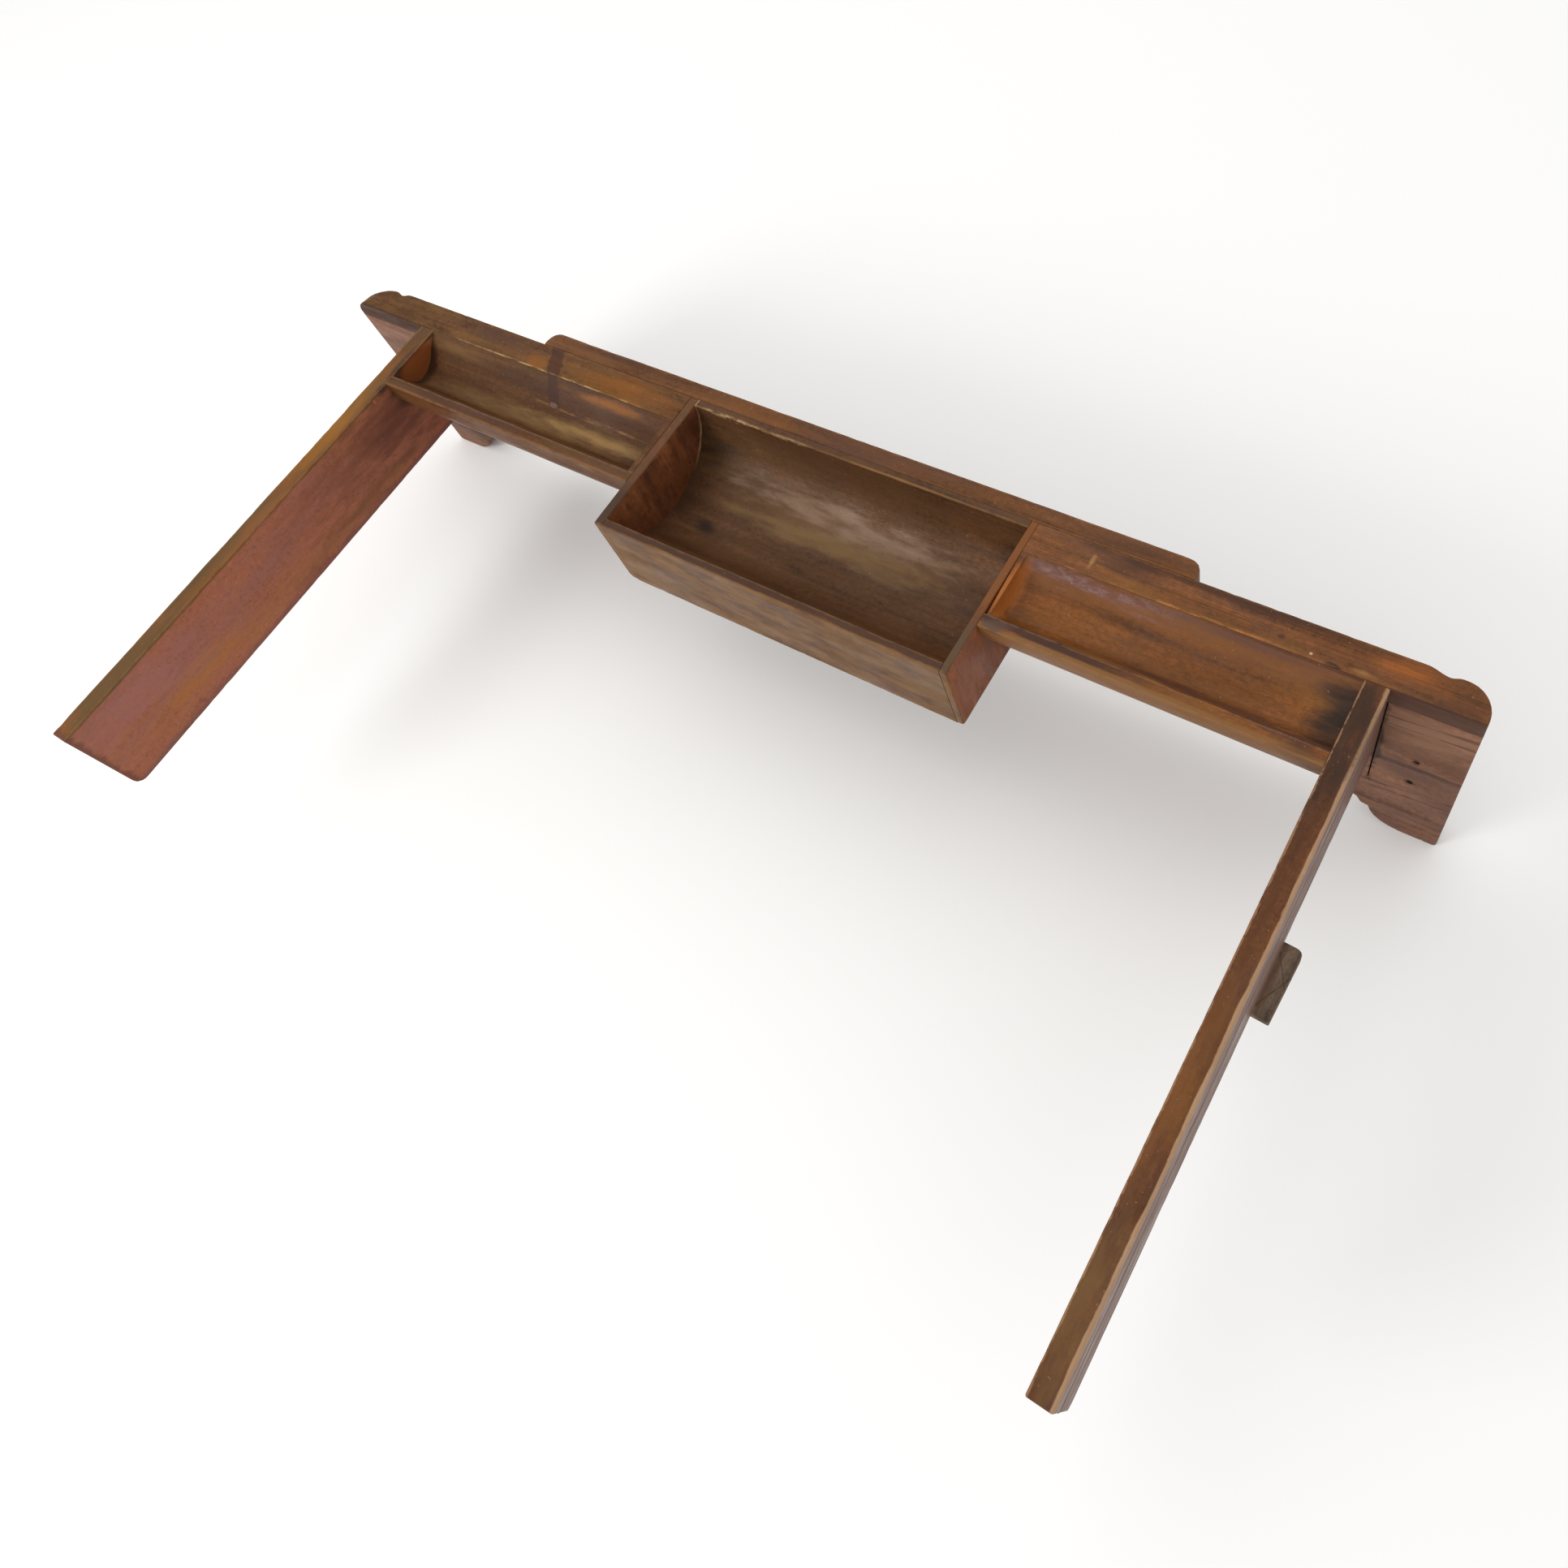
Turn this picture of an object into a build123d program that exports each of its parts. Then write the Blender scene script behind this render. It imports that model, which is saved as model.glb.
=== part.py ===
from build123d import *
import os

os.makedirs("parts", exist_ok=True)

# A loom's tool tray frame: a moulded back rail, two arms that reach forward, and a scooped
# tray between two shuttle troughs. X runs along the rail, Y to the back, Z up from the feet.
# The origin is the bottom centre of the whole frame. All sizes are in millimetres.

# Driving dimensions of the whole frame
overall_length = 956.0
overall_depth = 456.5
overall_height = 188.0

# Back rail: an upright board with a cap along its top and a cleat behind it
rail_thickness = 24.0
cap_thickness = 16.0
cleat_thickness = 14.0
cleat_height = 92.0
cleat_left, cleat_right = -270.0, 291.0
cleat_corner = 9.0
left_ovolo, right_ovolo, ovolo_start = 34.0, 19.0, 2.5
bead_drop, bead_length, cove_drop, cove_length = 0.9, 2.0, 3.6, 16.0
toe_length, arch_height = 27.0, 48.0
mount_inset, mount_pitch, mount_radius = 29.0, 30.0, 2.0
mount_top_drop = 77.0

# Arms: boards on edge, housed in the rail's front
arm_thickness = 15.3
arm_height = 77.5
left_arm_inner, right_arm_inner = -377.4, 407.7
arm_tip_radius = 8.0
arm_housing_depth, arm_housing_drop, arm_housing_gap = 6.0, 122.0, 1.0
arm_line_drop, arm_line_width, arm_line_depth = 30.0, 2.4, 1.5

# Tray: a scooped block between two end boards, let into a notch in the rail
tray_left, tray_right = -110.2, 175.0
tray_depth = 74.0
tray_front_wall, tray_back_wall, tray_mouth = 7.2, 5.9, 112.1
scoop_depth, scoop_front_reach = 53.5, 48.5
left_end_thickness, right_end_thickness = 7.3, 5.5
tray_foot_radius = 4.0

# Troughs: scooped blocks between the arms and the tray
trough_width, trough_height = 61.5, 36.0
left_belly_radius, right_belly_radius = 22.0, 29.0
trough_wall = 4.5
trough_back_land = 1.0
left_rim, right_rim = 8.4, 9.8
left_scoop = {"crease": (15.5, 16.0), "low": (27.5, 22.5), "front": (41.0, 21.0)}
right_scoop = {"crease": (6.0, 12.0), "low": (24.0, 15.8), "front": (43.0, 13.5)}
slit_width, slit_depth = 2.6, 10.0

# Lug: a small ledge under the right arm
lug_length, lug_reach, lug_thickness = 48.0, 11.6, 7.5
lug_inset, lug_centre_y, lug_turn, lug_corner = 14.0, 25.7, 2.0, 5.0

# Fasteners and dowels
nail_radius, nail_head_radius, nail_head = 1.3, 2.6, 0.8
brad_radius, brad_head_radius, brad_length = 0.9, 1.4, 30.0
screw_radius, screw_head_radius, screw_head, screw_slot = 2.0, 4.2, 2.0, 0.9
nail_length, arm_nail_length, lug_nail_length, screw_length = 44.0, 50.0, 22.0, 32.0
dowel_radius, dowel_length, dowel_depth = 4.0, 28.0, 20.0
clearance = 0.08
edge_wear = 0.9

# Levels and faces that follow from them
end_x = overall_length / 2
rail_back = overall_depth / 2 - cleat_thickness
rail_front = rail_back - rail_thickness
arm_tip = -overall_depth / 2
cap_bottom = overall_height - cap_thickness
arm_bottom = overall_height - arm_height
tray_bottom = overall_height - tray_depth
tray_inner_back = rail_back - tray_back_wall
tray_inner_front = tray_inner_back - tray_mouth
tray_front = tray_inner_front - tray_front_wall
scoop_low_y = tray_inner_front + scoop_front_reach
notch_left = tray_left - left_end_thickness
notch_right = tray_right + right_end_thickness
trough_front = rail_front - trough_width
trough_bottom = overall_height - trough_height
left_arm_outer = left_arm_inner - arm_thickness
right_arm_outer = right_arm_inner + arm_thickness
housing_bottom = overall_height - arm_housing_drop
housing_back = rail_front + arm_housing_depth

# Planes that fasteners start on. Each one's normal points the way the fastener is driven.
from_back = Plane.XZ.offset(-rail_back)
from_cleat = Plane.XZ.offset(-(rail_back + cleat_thickness))
from_below = Plane.XY.offset(arm_bottom - lug_thickness)
dowel_start = Plane.XY.offset(cap_bottom - dowel_depth)
from_left_end = Plane.YZ.offset(notch_left)
from_right_end = Plane(origin=(notch_right, 0, 0), x_dir=(0, -1, 0), z_dir=(-1, 0, 0))

# Where the fasteners go, in each plane's own two directions
trough_nail_z = trough_bottom + 7.0
trough_nail_spots = [(x, trough_nail_z) for x in (-345.0, -290.0, -150.0, 215.0, 300.0, 375.0)]
arm_centres = (left_arm_inner - arm_thickness / 2, right_arm_inner + arm_thickness / 2)
arm_nail_spots = [(x, z) for x in arm_centres for z in (arm_bottom + 16.0, arm_bottom + 44.0)]
cleat_screw_x = (-250.0, -160.0, 205.0, 273.0)
cleat_screw_spots = [(x, z) for x in cleat_screw_x for z in (116.0, 158.0)]
cap_dowel_x = (-440.0, -330.0, -180.0, 235.0, 330.0, 445.0)
cap_dowel_spots = [(x, rail_front + rail_thickness / 2) for x in cap_dowel_x]
mount_spots = [
    (side * (end_x - mount_inset), overall_height - mount_top_drop - drop)
    for side in (-1, 1)
    for drop in (0, mount_pitch)
]
left_brad_spots = [(y, tray_bottom + 9.0) for y in (104.0, 152.0, 200.0)]
right_brad_spots = [(-y, z) for y, z in left_brad_spots]
tray_brads = ((from_left_end, left_brad_spots), (from_right_end, right_brad_spots))
lug_nail_spots = [(arm_centres[1], lug_centre_y + dy) for dy in (-14.0, 14.0)]


def rods(plane, spots, radius, length):
    """Round rods that start on a plane and run along its normal."""
    with BuildPart() as group:
        with BuildSketch(plane):
            with Locations(*spots):
                Circle(radius)
        extrude(amount=length)
    return group.part


def headed(plane, spots, radius, length, head_radius, head):
    """Nails or screws with flat heads, sunk flush with the plane."""
    with BuildPart() as group:
        add(rods(plane, spots, head_radius, head))
        add(rods(plane, spots, radius, length))
    return group.part


def holes_for(plane, spots, radius, length, head_radius=0.0, head=0.0):
    """What is taken from the wood so that such fasteners sit in it without overlap."""
    with BuildPart() as group:
        add(rods(plane, spots, radius + clearance, length + clearance))
        if head:
            add(rods(plane, spots, head_radius + clearance, head + clearance))
    return group.part


def rail_plan(level):
    """The rail seen from above, with an ovolo, a bead and a cove at each back corner."""
    bead_y, front_y = rail_back - bead_drop, rail_front + ovolo_start
    with BuildSketch(Plane.XY.offset(level)) as plan:
        with BuildLine():
            for side, length, start_angle in ((1, right_ovolo, 0), (-1, left_ovolo, 90)):
                ovolo_x = side * (end_x - length)
                cove_x = ovolo_x - side * bead_length
                flat_x = cove_x - side * cove_length
                Polyline((0, rail_front), (side * end_x, rail_front), (side * end_x, front_y))
                EllipticalCenterArc(
                    (ovolo_x, front_y), length, bead_y - front_y, start_angle, arc_size=90
                )
                Line((ovolo_x, bead_y), (cove_x, bead_y))
                ThreePointArc(
                    (cove_x, bead_y), ((cove_x + flat_x) / 2, rail_back - cove_drop), (flat_x, rail_back)
                )
                Line((flat_x, rail_back), (0, rail_back))
        make_face()
    return plan.sketch


def strip_of_x(left, right, low, high):
    """A rectangle in the XZ plane of the rail's back, given by its limits."""
    with BuildSketch(from_back) as strip:
        with Locations(((left + right) / 2, (low + high) / 2)):
            Rectangle(right - left, high - low)
    return strip.sketch


def arm(inner, outer):
    """A board on edge, with a housed back end, a round lower tip and a line along its outside."""
    side = 1 if outer > inner else -1
    with BuildPart() as board:
        with BuildSketch(Plane.YZ.offset(min(inner, outer))):
            with BuildLine():
                Polyline(
                    (arm_tip, arm_bottom),
                    (housing_back, arm_bottom),
                    (housing_back, cap_bottom),
                    (rail_front, cap_bottom),
                    (rail_front, overall_height),
                    (arm_tip, overall_height),
                    close=True,
                )
            make_face()
        extrude(amount=arm_thickness)
        tip = board.edges().filter_by(Axis.X).group_by(Axis.Y)[0]
        fillet(tip.sort_by(Axis.Z)[0], arm_tip_radius)
        fillet(board.edges().filter_by(Axis.X).group_by(Axis.Y)[0].sort_by(Axis.Z)[-1], 1.5)
        long_edges = board.edges().filter_by(Axis.Y)
        top_edges = long_edges.group_by(Axis.Z)[-1].sort_by(Axis.X)
        chamfer(top_edges[-1 if side > 0 else 0], 1.5)
        chamfer(top_edges[0 if side > 0 else -1], 0.6)
        with BuildSketch(Plane.XZ.offset(-rail_front)):
            with Locations((outer, overall_height - arm_line_drop)):
                Rectangle(2 * arm_line_depth, arm_line_width)
        extrude(amount=rail_front - arm_tip, mode=Mode.SUBTRACT)
        ends = holes_for(from_back, arm_nail_spots, nail_radius, arm_nail_length)
        add(ends, mode=Mode.SUBTRACT)
        below = holes_for(from_below, lug_nail_spots, nail_radius, lug_nail_length)
        add(below, mode=Mode.SUBTRACT)
    return board.part


def scoop(shape, rim):
    """A trough's hollow in section: a sloping back, a soft low floor and a steep front."""
    top_back = rail_front - trough_back_land
    crease, low, front = shape["crease"], shape["low"], shape["front"]
    with BuildSketch(Plane.YZ) as section:
        with BuildLine():
            Line((top_back, overall_height), (top_back - crease[0], overall_height - crease[1]))
            ThreePointArc(
                (top_back - crease[0], overall_height - crease[1]),
                (top_back - low[0], overall_height - low[1]),
                (top_back - front[0], overall_height - front[1]),
            )
            Polyline(
                (top_back - front[0], overall_height - front[1]),
                (trough_front + rim, overall_height),
                (top_back, overall_height),
            )
        make_face()
    return section.sketch


def trough(left, right, shape, rim, belly_radius, hollow_left, hollow_right):
    """A block with a round front belly, scooped from above, open towards its arm."""
    with BuildPart() as block:
        with BuildSketch(Plane.YZ.offset(left)):
            with Locations(((trough_front + rail_front) / 2, (trough_bottom + overall_height) / 2)):
                Rectangle(trough_width, trough_height)
        extrude(amount=right - left)
        front_edges = block.edges().filter_by(Axis.X).group_by(Axis.Y)[0].sort_by(Axis.Z)
        fillet(front_edges[0], belly_radius)
        hollow = extrude(
            scoop(shape, rim).moved(Location((hollow_left, 0, 0))),
            amount=hollow_right - hollow_left,
            dir=(1, 0, 0),
            mode=Mode.PRIVATE,
        )
        add(hollow, mode=Mode.SUBTRACT)
        rim_edges = block.edges().filter_by(Axis.X).group_by(Axis.Z)[-1].sort_by(Axis.Y)
        fillet(rim_edges[:2], edge_wear)
        backs = holes_for(from_back, trough_nail_spots, nail_radius, nail_length)
        add(backs, mode=Mode.SUBTRACT)
    return block.part


def tray_end(left, thickness):
    """An end board of the tray, as deep as the tray and as long as it is wide."""
    with BuildPart() as board:
        with BuildSketch(Plane.YZ.offset(left)):
            with Locations(((tray_front + rail_back) / 2, (tray_bottom + overall_height) / 2)):
                Rectangle(rail_back - tray_front, tray_depth)
        extrude(amount=thickness)
        front_edges = board.edges().filter_by(Axis.X).group_by(Axis.Y)[0].sort_by(Axis.Z)
        fillet(front_edges[0], tray_foot_radius)
        fillet(board.edges().filter_by(Axis.X).group_by(Axis.Y)[0].sort_by(Axis.Z)[-1], edge_wear)
        fillet(board.edges().filter_by(Axis.Y).group_by(Axis.Z)[-1], edge_wear)
    return board.part


# Back rail ------------------------------------------------------------------------------

with BuildPart() as back_board:
    with BuildSketch(from_back):
        with BuildLine():
            Polyline((0, cap_bottom), (end_x, cap_bottom), (end_x, 0), (end_x - toe_length, 0))
            ThreePointArc(
                (end_x - toe_length, 0), (end_x - toe_length - 12, 4.5), (end_x - toe_length - 20, 13.5)
            )
            Polyline(
                (end_x - toe_length - 20, 13.5),
                (end_x - toe_length - 22.5, 20.5),
                (end_x - toe_length - 27.5, 21.5),
            )
            ThreePointArc(
                (end_x - toe_length - 27.5, 21.5),
                (end_x - toe_length - 31, 28),
                (end_x - toe_length - 37, 31),
            )
            ThreePointArc(
                (end_x - toe_length - 37, 31),
                (end_x - toe_length - 58, 43),
                (end_x - toe_length - 84, arch_height),
            )
            Line((end_x - toe_length - 84, arch_height), (0, arch_height))
            mirror(about=Plane.YZ)
        make_face()
    extrude(amount=rail_thickness)
    extrude(rail_plan(0), amount=cap_bottom, mode=Mode.INTERSECT)
    extrude(
        strip_of_x(notch_left, notch_right, tray_bottom, cap_bottom),
        amount=rail_thickness,
        mode=Mode.SUBTRACT,
    )
    for inner, outer in ((left_arm_inner, left_arm_outer), (right_arm_inner, right_arm_outer)):
        gap = arm_housing_gap if outer > inner else -arm_housing_gap
        low_x, high_x = sorted((inner, outer + gap))
        with BuildSketch(Plane.XZ.offset(-housing_back)):
            with Locations(((low_x + high_x) / 2, (housing_bottom + cap_bottom) / 2)):
                Rectangle(high_x - low_x, cap_bottom - housing_bottom)
        extrude(amount=arm_housing_depth, mode=Mode.SUBTRACT)
    add(rods(from_back, mount_spots, mount_radius, rail_thickness), mode=Mode.SUBTRACT)
    for spots, length in ((trough_nail_spots, nail_length), (arm_nail_spots, arm_nail_length)):
        sunk = holes_for(from_back, spots, nail_radius, length, nail_head_radius, nail_head)
        add(sunk, mode=Mode.SUBTRACT)
    add(holes_for(from_cleat, cleat_screw_spots, screw_radius, screw_length), mode=Mode.SUBTRACT)
    add(holes_for(dowel_start, cap_dowel_spots, dowel_radius, dowel_length), mode=Mode.SUBTRACT)
back_board.part.label = "back_board"
export_step(back_board.part, "parts/back_board.step")

for cap_name, cut_left, cut_right in (
    ("left_cap", notch_left, end_x),
    ("right_cap", -end_x, notch_right),
):
    with BuildPart() as cap:
        extrude(rail_plan(cap_bottom), amount=cap_thickness)
        extrude(
            strip_of_x(cut_left, cut_right, cap_bottom, overall_height),
            amount=rail_thickness,
            mode=Mode.SUBTRACT,
        )
        outline = cap.edges().group_by(Axis.Z)[-1].sort_by(Axis.X)
        fillet(outline[:-1] if cap_name == "left_cap" else outline[1:], edge_wear)
        add(holes_for(dowel_start, cap_dowel_spots, dowel_radius, dowel_length), mode=Mode.SUBTRACT)
    cap.part.label = cap_name
    export_step(cap.part, f"parts/{cap_name}.step")

with BuildPart() as cap_dowels:
    add(rods(dowel_start, cap_dowel_spots, dowel_radius, dowel_length))
cap_dowels.part.label = "cap_dowels"
export_step(cap_dowels.part, "parts/cap_dowels.step")

with BuildPart() as back_cleat:
    with BuildSketch(Plane.XY.offset(overall_height - cleat_height)):
        centre = ((cleat_left + cleat_right) / 2, rail_back + cleat_thickness / 2)
        with Locations(centre):
            Rectangle(cleat_right - cleat_left, cleat_thickness)
    extrude(amount=cleat_height)
    back_corners = back_cleat.edges().filter_by(Axis.Z).group_by(Axis.Y)[-1]
    fillet(back_corners, cleat_corner)
    fillet(back_cleat.edges().group_by(Axis.Z)[-1].filter_by(Axis.X), edge_wear)
    fillet(back_cleat.edges().group_by(Axis.Z)[0].filter_by(Axis.X), edge_wear)
    sunk = holes_for(
        from_cleat, cleat_screw_spots, screw_radius, screw_length, screw_head_radius, screw_head
    )
    add(sunk, mode=Mode.SUBTRACT)
back_cleat.part.label = "back_cleat"
export_step(back_cleat.part, "parts/back_cleat.step")

with BuildPart() as cleat_screws:
    add(headed(from_cleat, cleat_screw_spots, screw_radius, screw_length, screw_head_radius, screw_head))
    with BuildSketch(from_cleat):
        with Locations(*cleat_screw_spots):
            Rectangle(2 * screw_head_radius, screw_slot, rotation=35)
    extrude(amount=screw_head / 2, mode=Mode.SUBTRACT)
cleat_screws.part.label = "cleat_screws"
export_step(cleat_screws.part, "parts/cleat_screws.step")

# Arms -----------------------------------------------------------------------------------

with BuildPart() as left_arm:
    add(arm(left_arm_inner, left_arm_outer))
left_arm.part.label = "left_arm"
export_step(left_arm.part, "parts/left_arm.step")

with BuildPart() as right_arm:
    add(arm(right_arm_inner, right_arm_outer))
right_arm.part.label = "right_arm"
export_step(right_arm.part, "parts/right_arm.step")

for filler_name, filler_left in (
    ("left_arm_filler", left_arm_outer),
    ("right_arm_filler", right_arm_inner),
):
    with BuildPart() as filler:
        with BuildSketch(Plane.XZ.offset(-housing_back)):
            centre = (filler_left + arm_thickness / 2, (housing_bottom + arm_bottom) / 2)
            with Locations(centre):
                Rectangle(arm_thickness, arm_bottom - housing_bottom)
        extrude(amount=arm_housing_depth)
    filler.part.label = filler_name
    export_step(filler.part, f"parts/{filler_name}.step")

with BuildPart() as arm_nails:
    add(headed(from_back, arm_nail_spots, nail_radius, arm_nail_length, nail_head_radius, nail_head))
arm_nails.part.label = "arm_nails"
export_step(arm_nails.part, "parts/arm_nails.step")

with BuildPart() as right_lug:
    with BuildSketch(from_below):
        with Locations(Location((right_arm_outer + (lug_reach - lug_inset) / 2, lug_centre_y), -lug_turn)):
            Rectangle(lug_reach + lug_inset, lug_length)
    extrude(amount=lug_thickness)
    outer_corners = right_lug.edges().filter_by(Axis.Z).sort_by(Axis.X)[-2:]
    fillet(outer_corners.sort_by(Axis.Y)[-1], lug_corner)
    sunk = holes_for(
        from_below, lug_nail_spots, nail_radius, lug_thickness, nail_head_radius, nail_head
    )
    add(sunk, mode=Mode.SUBTRACT)
right_lug.part.label = "right_lug"
export_step(right_lug.part, "parts/right_lug.step")

with BuildPart() as lug_nails:
    add(headed(from_below, lug_nail_spots, nail_radius, lug_nail_length, nail_head_radius, nail_head))
lug_nails.part.label = "lug_nails"
export_step(lug_nails.part, "parts/lug_nails.step")

# Tray -----------------------------------------------------------------------------------

with BuildPart() as tray_body:
    with BuildSketch(Plane.YZ.offset(tray_left)):
        with Locations(((tray_front + rail_back) / 2, (tray_bottom + overall_height) / 2)):
            Rectangle(rail_back - tray_front, tray_depth)
    extrude(amount=tray_right - tray_left)
    with BuildSketch(Plane.YZ.offset(tray_left)):
        with BuildLine():
            low_point = (scoop_low_y, overall_height)
            EllipticalCenterArc(low_point, scoop_front_reach, scoop_depth, 180, arc_size=90)
            EllipticalCenterArc(
                low_point, tray_mouth - scoop_front_reach, scoop_depth, 270, arc_size=90
            )
            Line((tray_inner_back, overall_height), (tray_inner_front, overall_height))
        make_face()
    extrude(amount=tray_right - tray_left, mode=Mode.SUBTRACT)
    fillet(tray_body.edges().filter_by(Axis.X).group_by(Axis.Z)[-1].sort_by(Axis.Y)[:2], edge_wear)
    for plane, spots in tray_brads:
        add(holes_for(plane, spots, brad_radius, brad_length), mode=Mode.SUBTRACT)
tray_body.part.label = "tray_body"
export_step(tray_body.part, "parts/tray_body.step")

with BuildPart() as tray_left_end:
    add(tray_end(notch_left, left_end_thickness))
    sunk = holes_for(
        from_left_end, left_brad_spots, brad_radius, brad_length, brad_head_radius, nail_head
    )
    add(sunk, mode=Mode.SUBTRACT)
tray_left_end.part.label = "tray_left_end"
export_step(tray_left_end.part, "parts/tray_left_end.step")

with BuildPart() as tray_right_end:
    add(tray_end(tray_right, right_end_thickness))
    sunk = holes_for(
        from_right_end, right_brad_spots, brad_radius, brad_length, brad_head_radius, nail_head
    )
    add(sunk, mode=Mode.SUBTRACT)
tray_right_end.part.label = "tray_right_end"
export_step(tray_right_end.part, "parts/tray_right_end.step")

with BuildPart() as tray_nails:
    for plane, spots in tray_brads:
        add(headed(plane, spots, brad_radius, brad_length, brad_head_radius, nail_head))
tray_nails.part.label = "tray_nails"
export_step(tray_nails.part, "parts/tray_nails.step")

# Troughs --------------------------------------------------------------------------------

with BuildPart() as left_trough:
    add(
        trough(
            left_arm_inner,
            notch_left,
            left_scoop,
            left_rim,
            left_belly_radius,
            left_arm_inner,
            notch_left - trough_wall,
        )
    )
left_trough.part.label = "left_trough"
export_step(left_trough.part, "parts/left_trough.step")

with BuildPart() as right_trough:
    add(
        trough(
            notch_right,
            right_arm_inner,
            right_scoop,
            right_rim,
            right_belly_radius,
            notch_right + trough_wall + 1.0,
            right_arm_inner,
        )
    )
    with BuildSketch(Plane.XY.offset(overall_height)):
        with BuildLine():
            Polyline(
                (notch_right, trough_front + right_rim),
                (notch_right + slit_width, trough_front + right_rim),
                (notch_right, rail_front - trough_back_land),
                close=True,
            )
        make_face()
    extrude(amount=-slit_depth, mode=Mode.SUBTRACT)
right_trough.part.label = "right_trough"
export_step(right_trough.part, "parts/right_trough.step")

with BuildPart() as trough_nails:
    add(headed(from_back, trough_nail_spots, nail_radius, nail_length, nail_head_radius, nail_head))
trough_nails.part.label = "trough_nails"
export_step(trough_nails.part, "parts/trough_nails.step")
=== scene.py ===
import math

import bmesh
import bpy
from mathutils import Euler, Matrix, Vector, noise


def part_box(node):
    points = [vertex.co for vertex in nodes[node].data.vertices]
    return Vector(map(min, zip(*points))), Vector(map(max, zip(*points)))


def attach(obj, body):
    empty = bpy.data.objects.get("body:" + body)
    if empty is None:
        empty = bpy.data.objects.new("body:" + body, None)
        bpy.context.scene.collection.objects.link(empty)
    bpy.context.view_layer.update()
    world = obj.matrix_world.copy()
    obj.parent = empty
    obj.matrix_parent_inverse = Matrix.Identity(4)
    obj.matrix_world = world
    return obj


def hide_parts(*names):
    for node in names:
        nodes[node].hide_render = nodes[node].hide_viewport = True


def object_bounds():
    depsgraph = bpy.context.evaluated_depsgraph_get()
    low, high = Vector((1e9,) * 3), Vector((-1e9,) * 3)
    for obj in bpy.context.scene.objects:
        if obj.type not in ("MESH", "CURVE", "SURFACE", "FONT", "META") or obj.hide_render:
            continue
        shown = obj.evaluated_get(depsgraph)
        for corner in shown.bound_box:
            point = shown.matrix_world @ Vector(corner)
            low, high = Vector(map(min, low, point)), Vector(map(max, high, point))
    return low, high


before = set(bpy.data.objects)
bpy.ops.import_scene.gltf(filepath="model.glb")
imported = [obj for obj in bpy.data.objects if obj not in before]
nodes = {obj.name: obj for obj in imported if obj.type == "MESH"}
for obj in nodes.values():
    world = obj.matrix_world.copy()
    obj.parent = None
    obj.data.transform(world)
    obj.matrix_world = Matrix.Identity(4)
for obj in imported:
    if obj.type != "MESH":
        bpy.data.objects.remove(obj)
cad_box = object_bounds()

# The wooden frame of a small loom. Boards are lofted again here with worn edges, and each
# keeps the place of the CAD node that it stands for. Sections are worked out in millimetres.

MM = 0.001
X, Y, Z = 0, 1, 2


def box_mm(node):
    lo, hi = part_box(node)
    return [v / MM for v in lo], [v / MM for v in hi]


rail_lo, rail_hi = box_mm("back_board")
cleat_lo, cleat_hi = box_mm("back_cleat")
tray_lo, tray_hi = box_mm("tray_body")
left_end_lo, left_end_hi = box_mm("tray_left_end")
right_end_lo, right_end_hi = box_mm("tray_right_end")
left_trough_lo, left_trough_hi = box_mm("left_trough")
right_trough_lo, right_trough_hi = box_mm("right_trough")
left_arm_lo, left_arm_hi = box_mm("left_arm")
right_arm_lo, right_arm_hi = box_mm("right_arm")
lug_lo, lug_hi = box_mm("right_lug")

TOP = cad_box[1].z / MM
RAIL_FRONT, RAIL_BACK = rail_lo[Y], rail_hi[Y]
CAP_BOTTOM = box_mm("left_cap")[0][Z]
NOTCH_LEFT, NOTCH_RIGHT = left_end_lo[X], right_end_hi[X]

# Worn boards ----------------------------------------------

ARC_STEPS = 4
EDGE_FADE = 0.7
NEAR_EDGE = 1.4
TIGHT = 0.6
# How far a face wanders inward, how deep a bite at an edge is, and the noise behind both.
WAVE, WAVE_SCALE = 0.12, 0.035
NICK, NICK_SCALE, NICK_FROM, NICK_GAIN = 0.35, 0.21, 0.18, 1.6


def worn_corner(before, corner, after, radius):
    """A rounded corner that leaves and joins its two edges smoothly."""
    p = Vector(corner)
    u, v = Vector(before) - p, Vector(after) - p
    reach = min(radius / math.tan(u.angle(v) / 2), 0.45 * u.length, 0.45 * v.length)
    start, end = p + u.normalized() * reach, p + v.normalized() * reach
    steps = (i / ARC_STEPS for i in range(ARC_STEPS + 1))
    return [start * (1 - s) ** 2 + p * 2 * s * (1 - s) + end * s**2 for s in steps]


def outline(corners, runs):
    """Points round a closed section. A corner is (a, b, radius), and radius 0 is a plain point.

    runs holds, for each corner, the shares of the way to the next one at which points stand.
    Also gives which points lie on an open, rounded corner, where boards wear.
    """
    groups = []
    for i, (a, b, radius) in enumerate(corners):
        if radius:
            before, after = corners[i - 1], corners[(i + 1) % len(corners)]
            groups.append(worn_corner(before[:2], (a, b), after[:2], radius))
        else:
            groups.append([Vector((a, b))])
    points, worn = [], []
    for i, group in enumerate(groups):
        points += group
        worn += [corners[i][2] > TIGHT] * len(group)
        start, end = group[-1], groups[(i + 1) % len(groups)][0]
        points += [start.lerp(end, share) for share in runs[i]]
        worn += [False] * len(runs[i])
    return points, worn


def run_shares(length, spacing):
    """Shares of a straight run: evenly spaced, with one more point close to each end."""
    count = max(1, round(length / spacing))
    shares = {i / count for i in range(1, count)}
    if length > 3 * NEAR_EDGE:
        shares |= {NEAR_EDGE / length, 1 - NEAR_EDGE / length}
    return sorted(shares)


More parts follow.
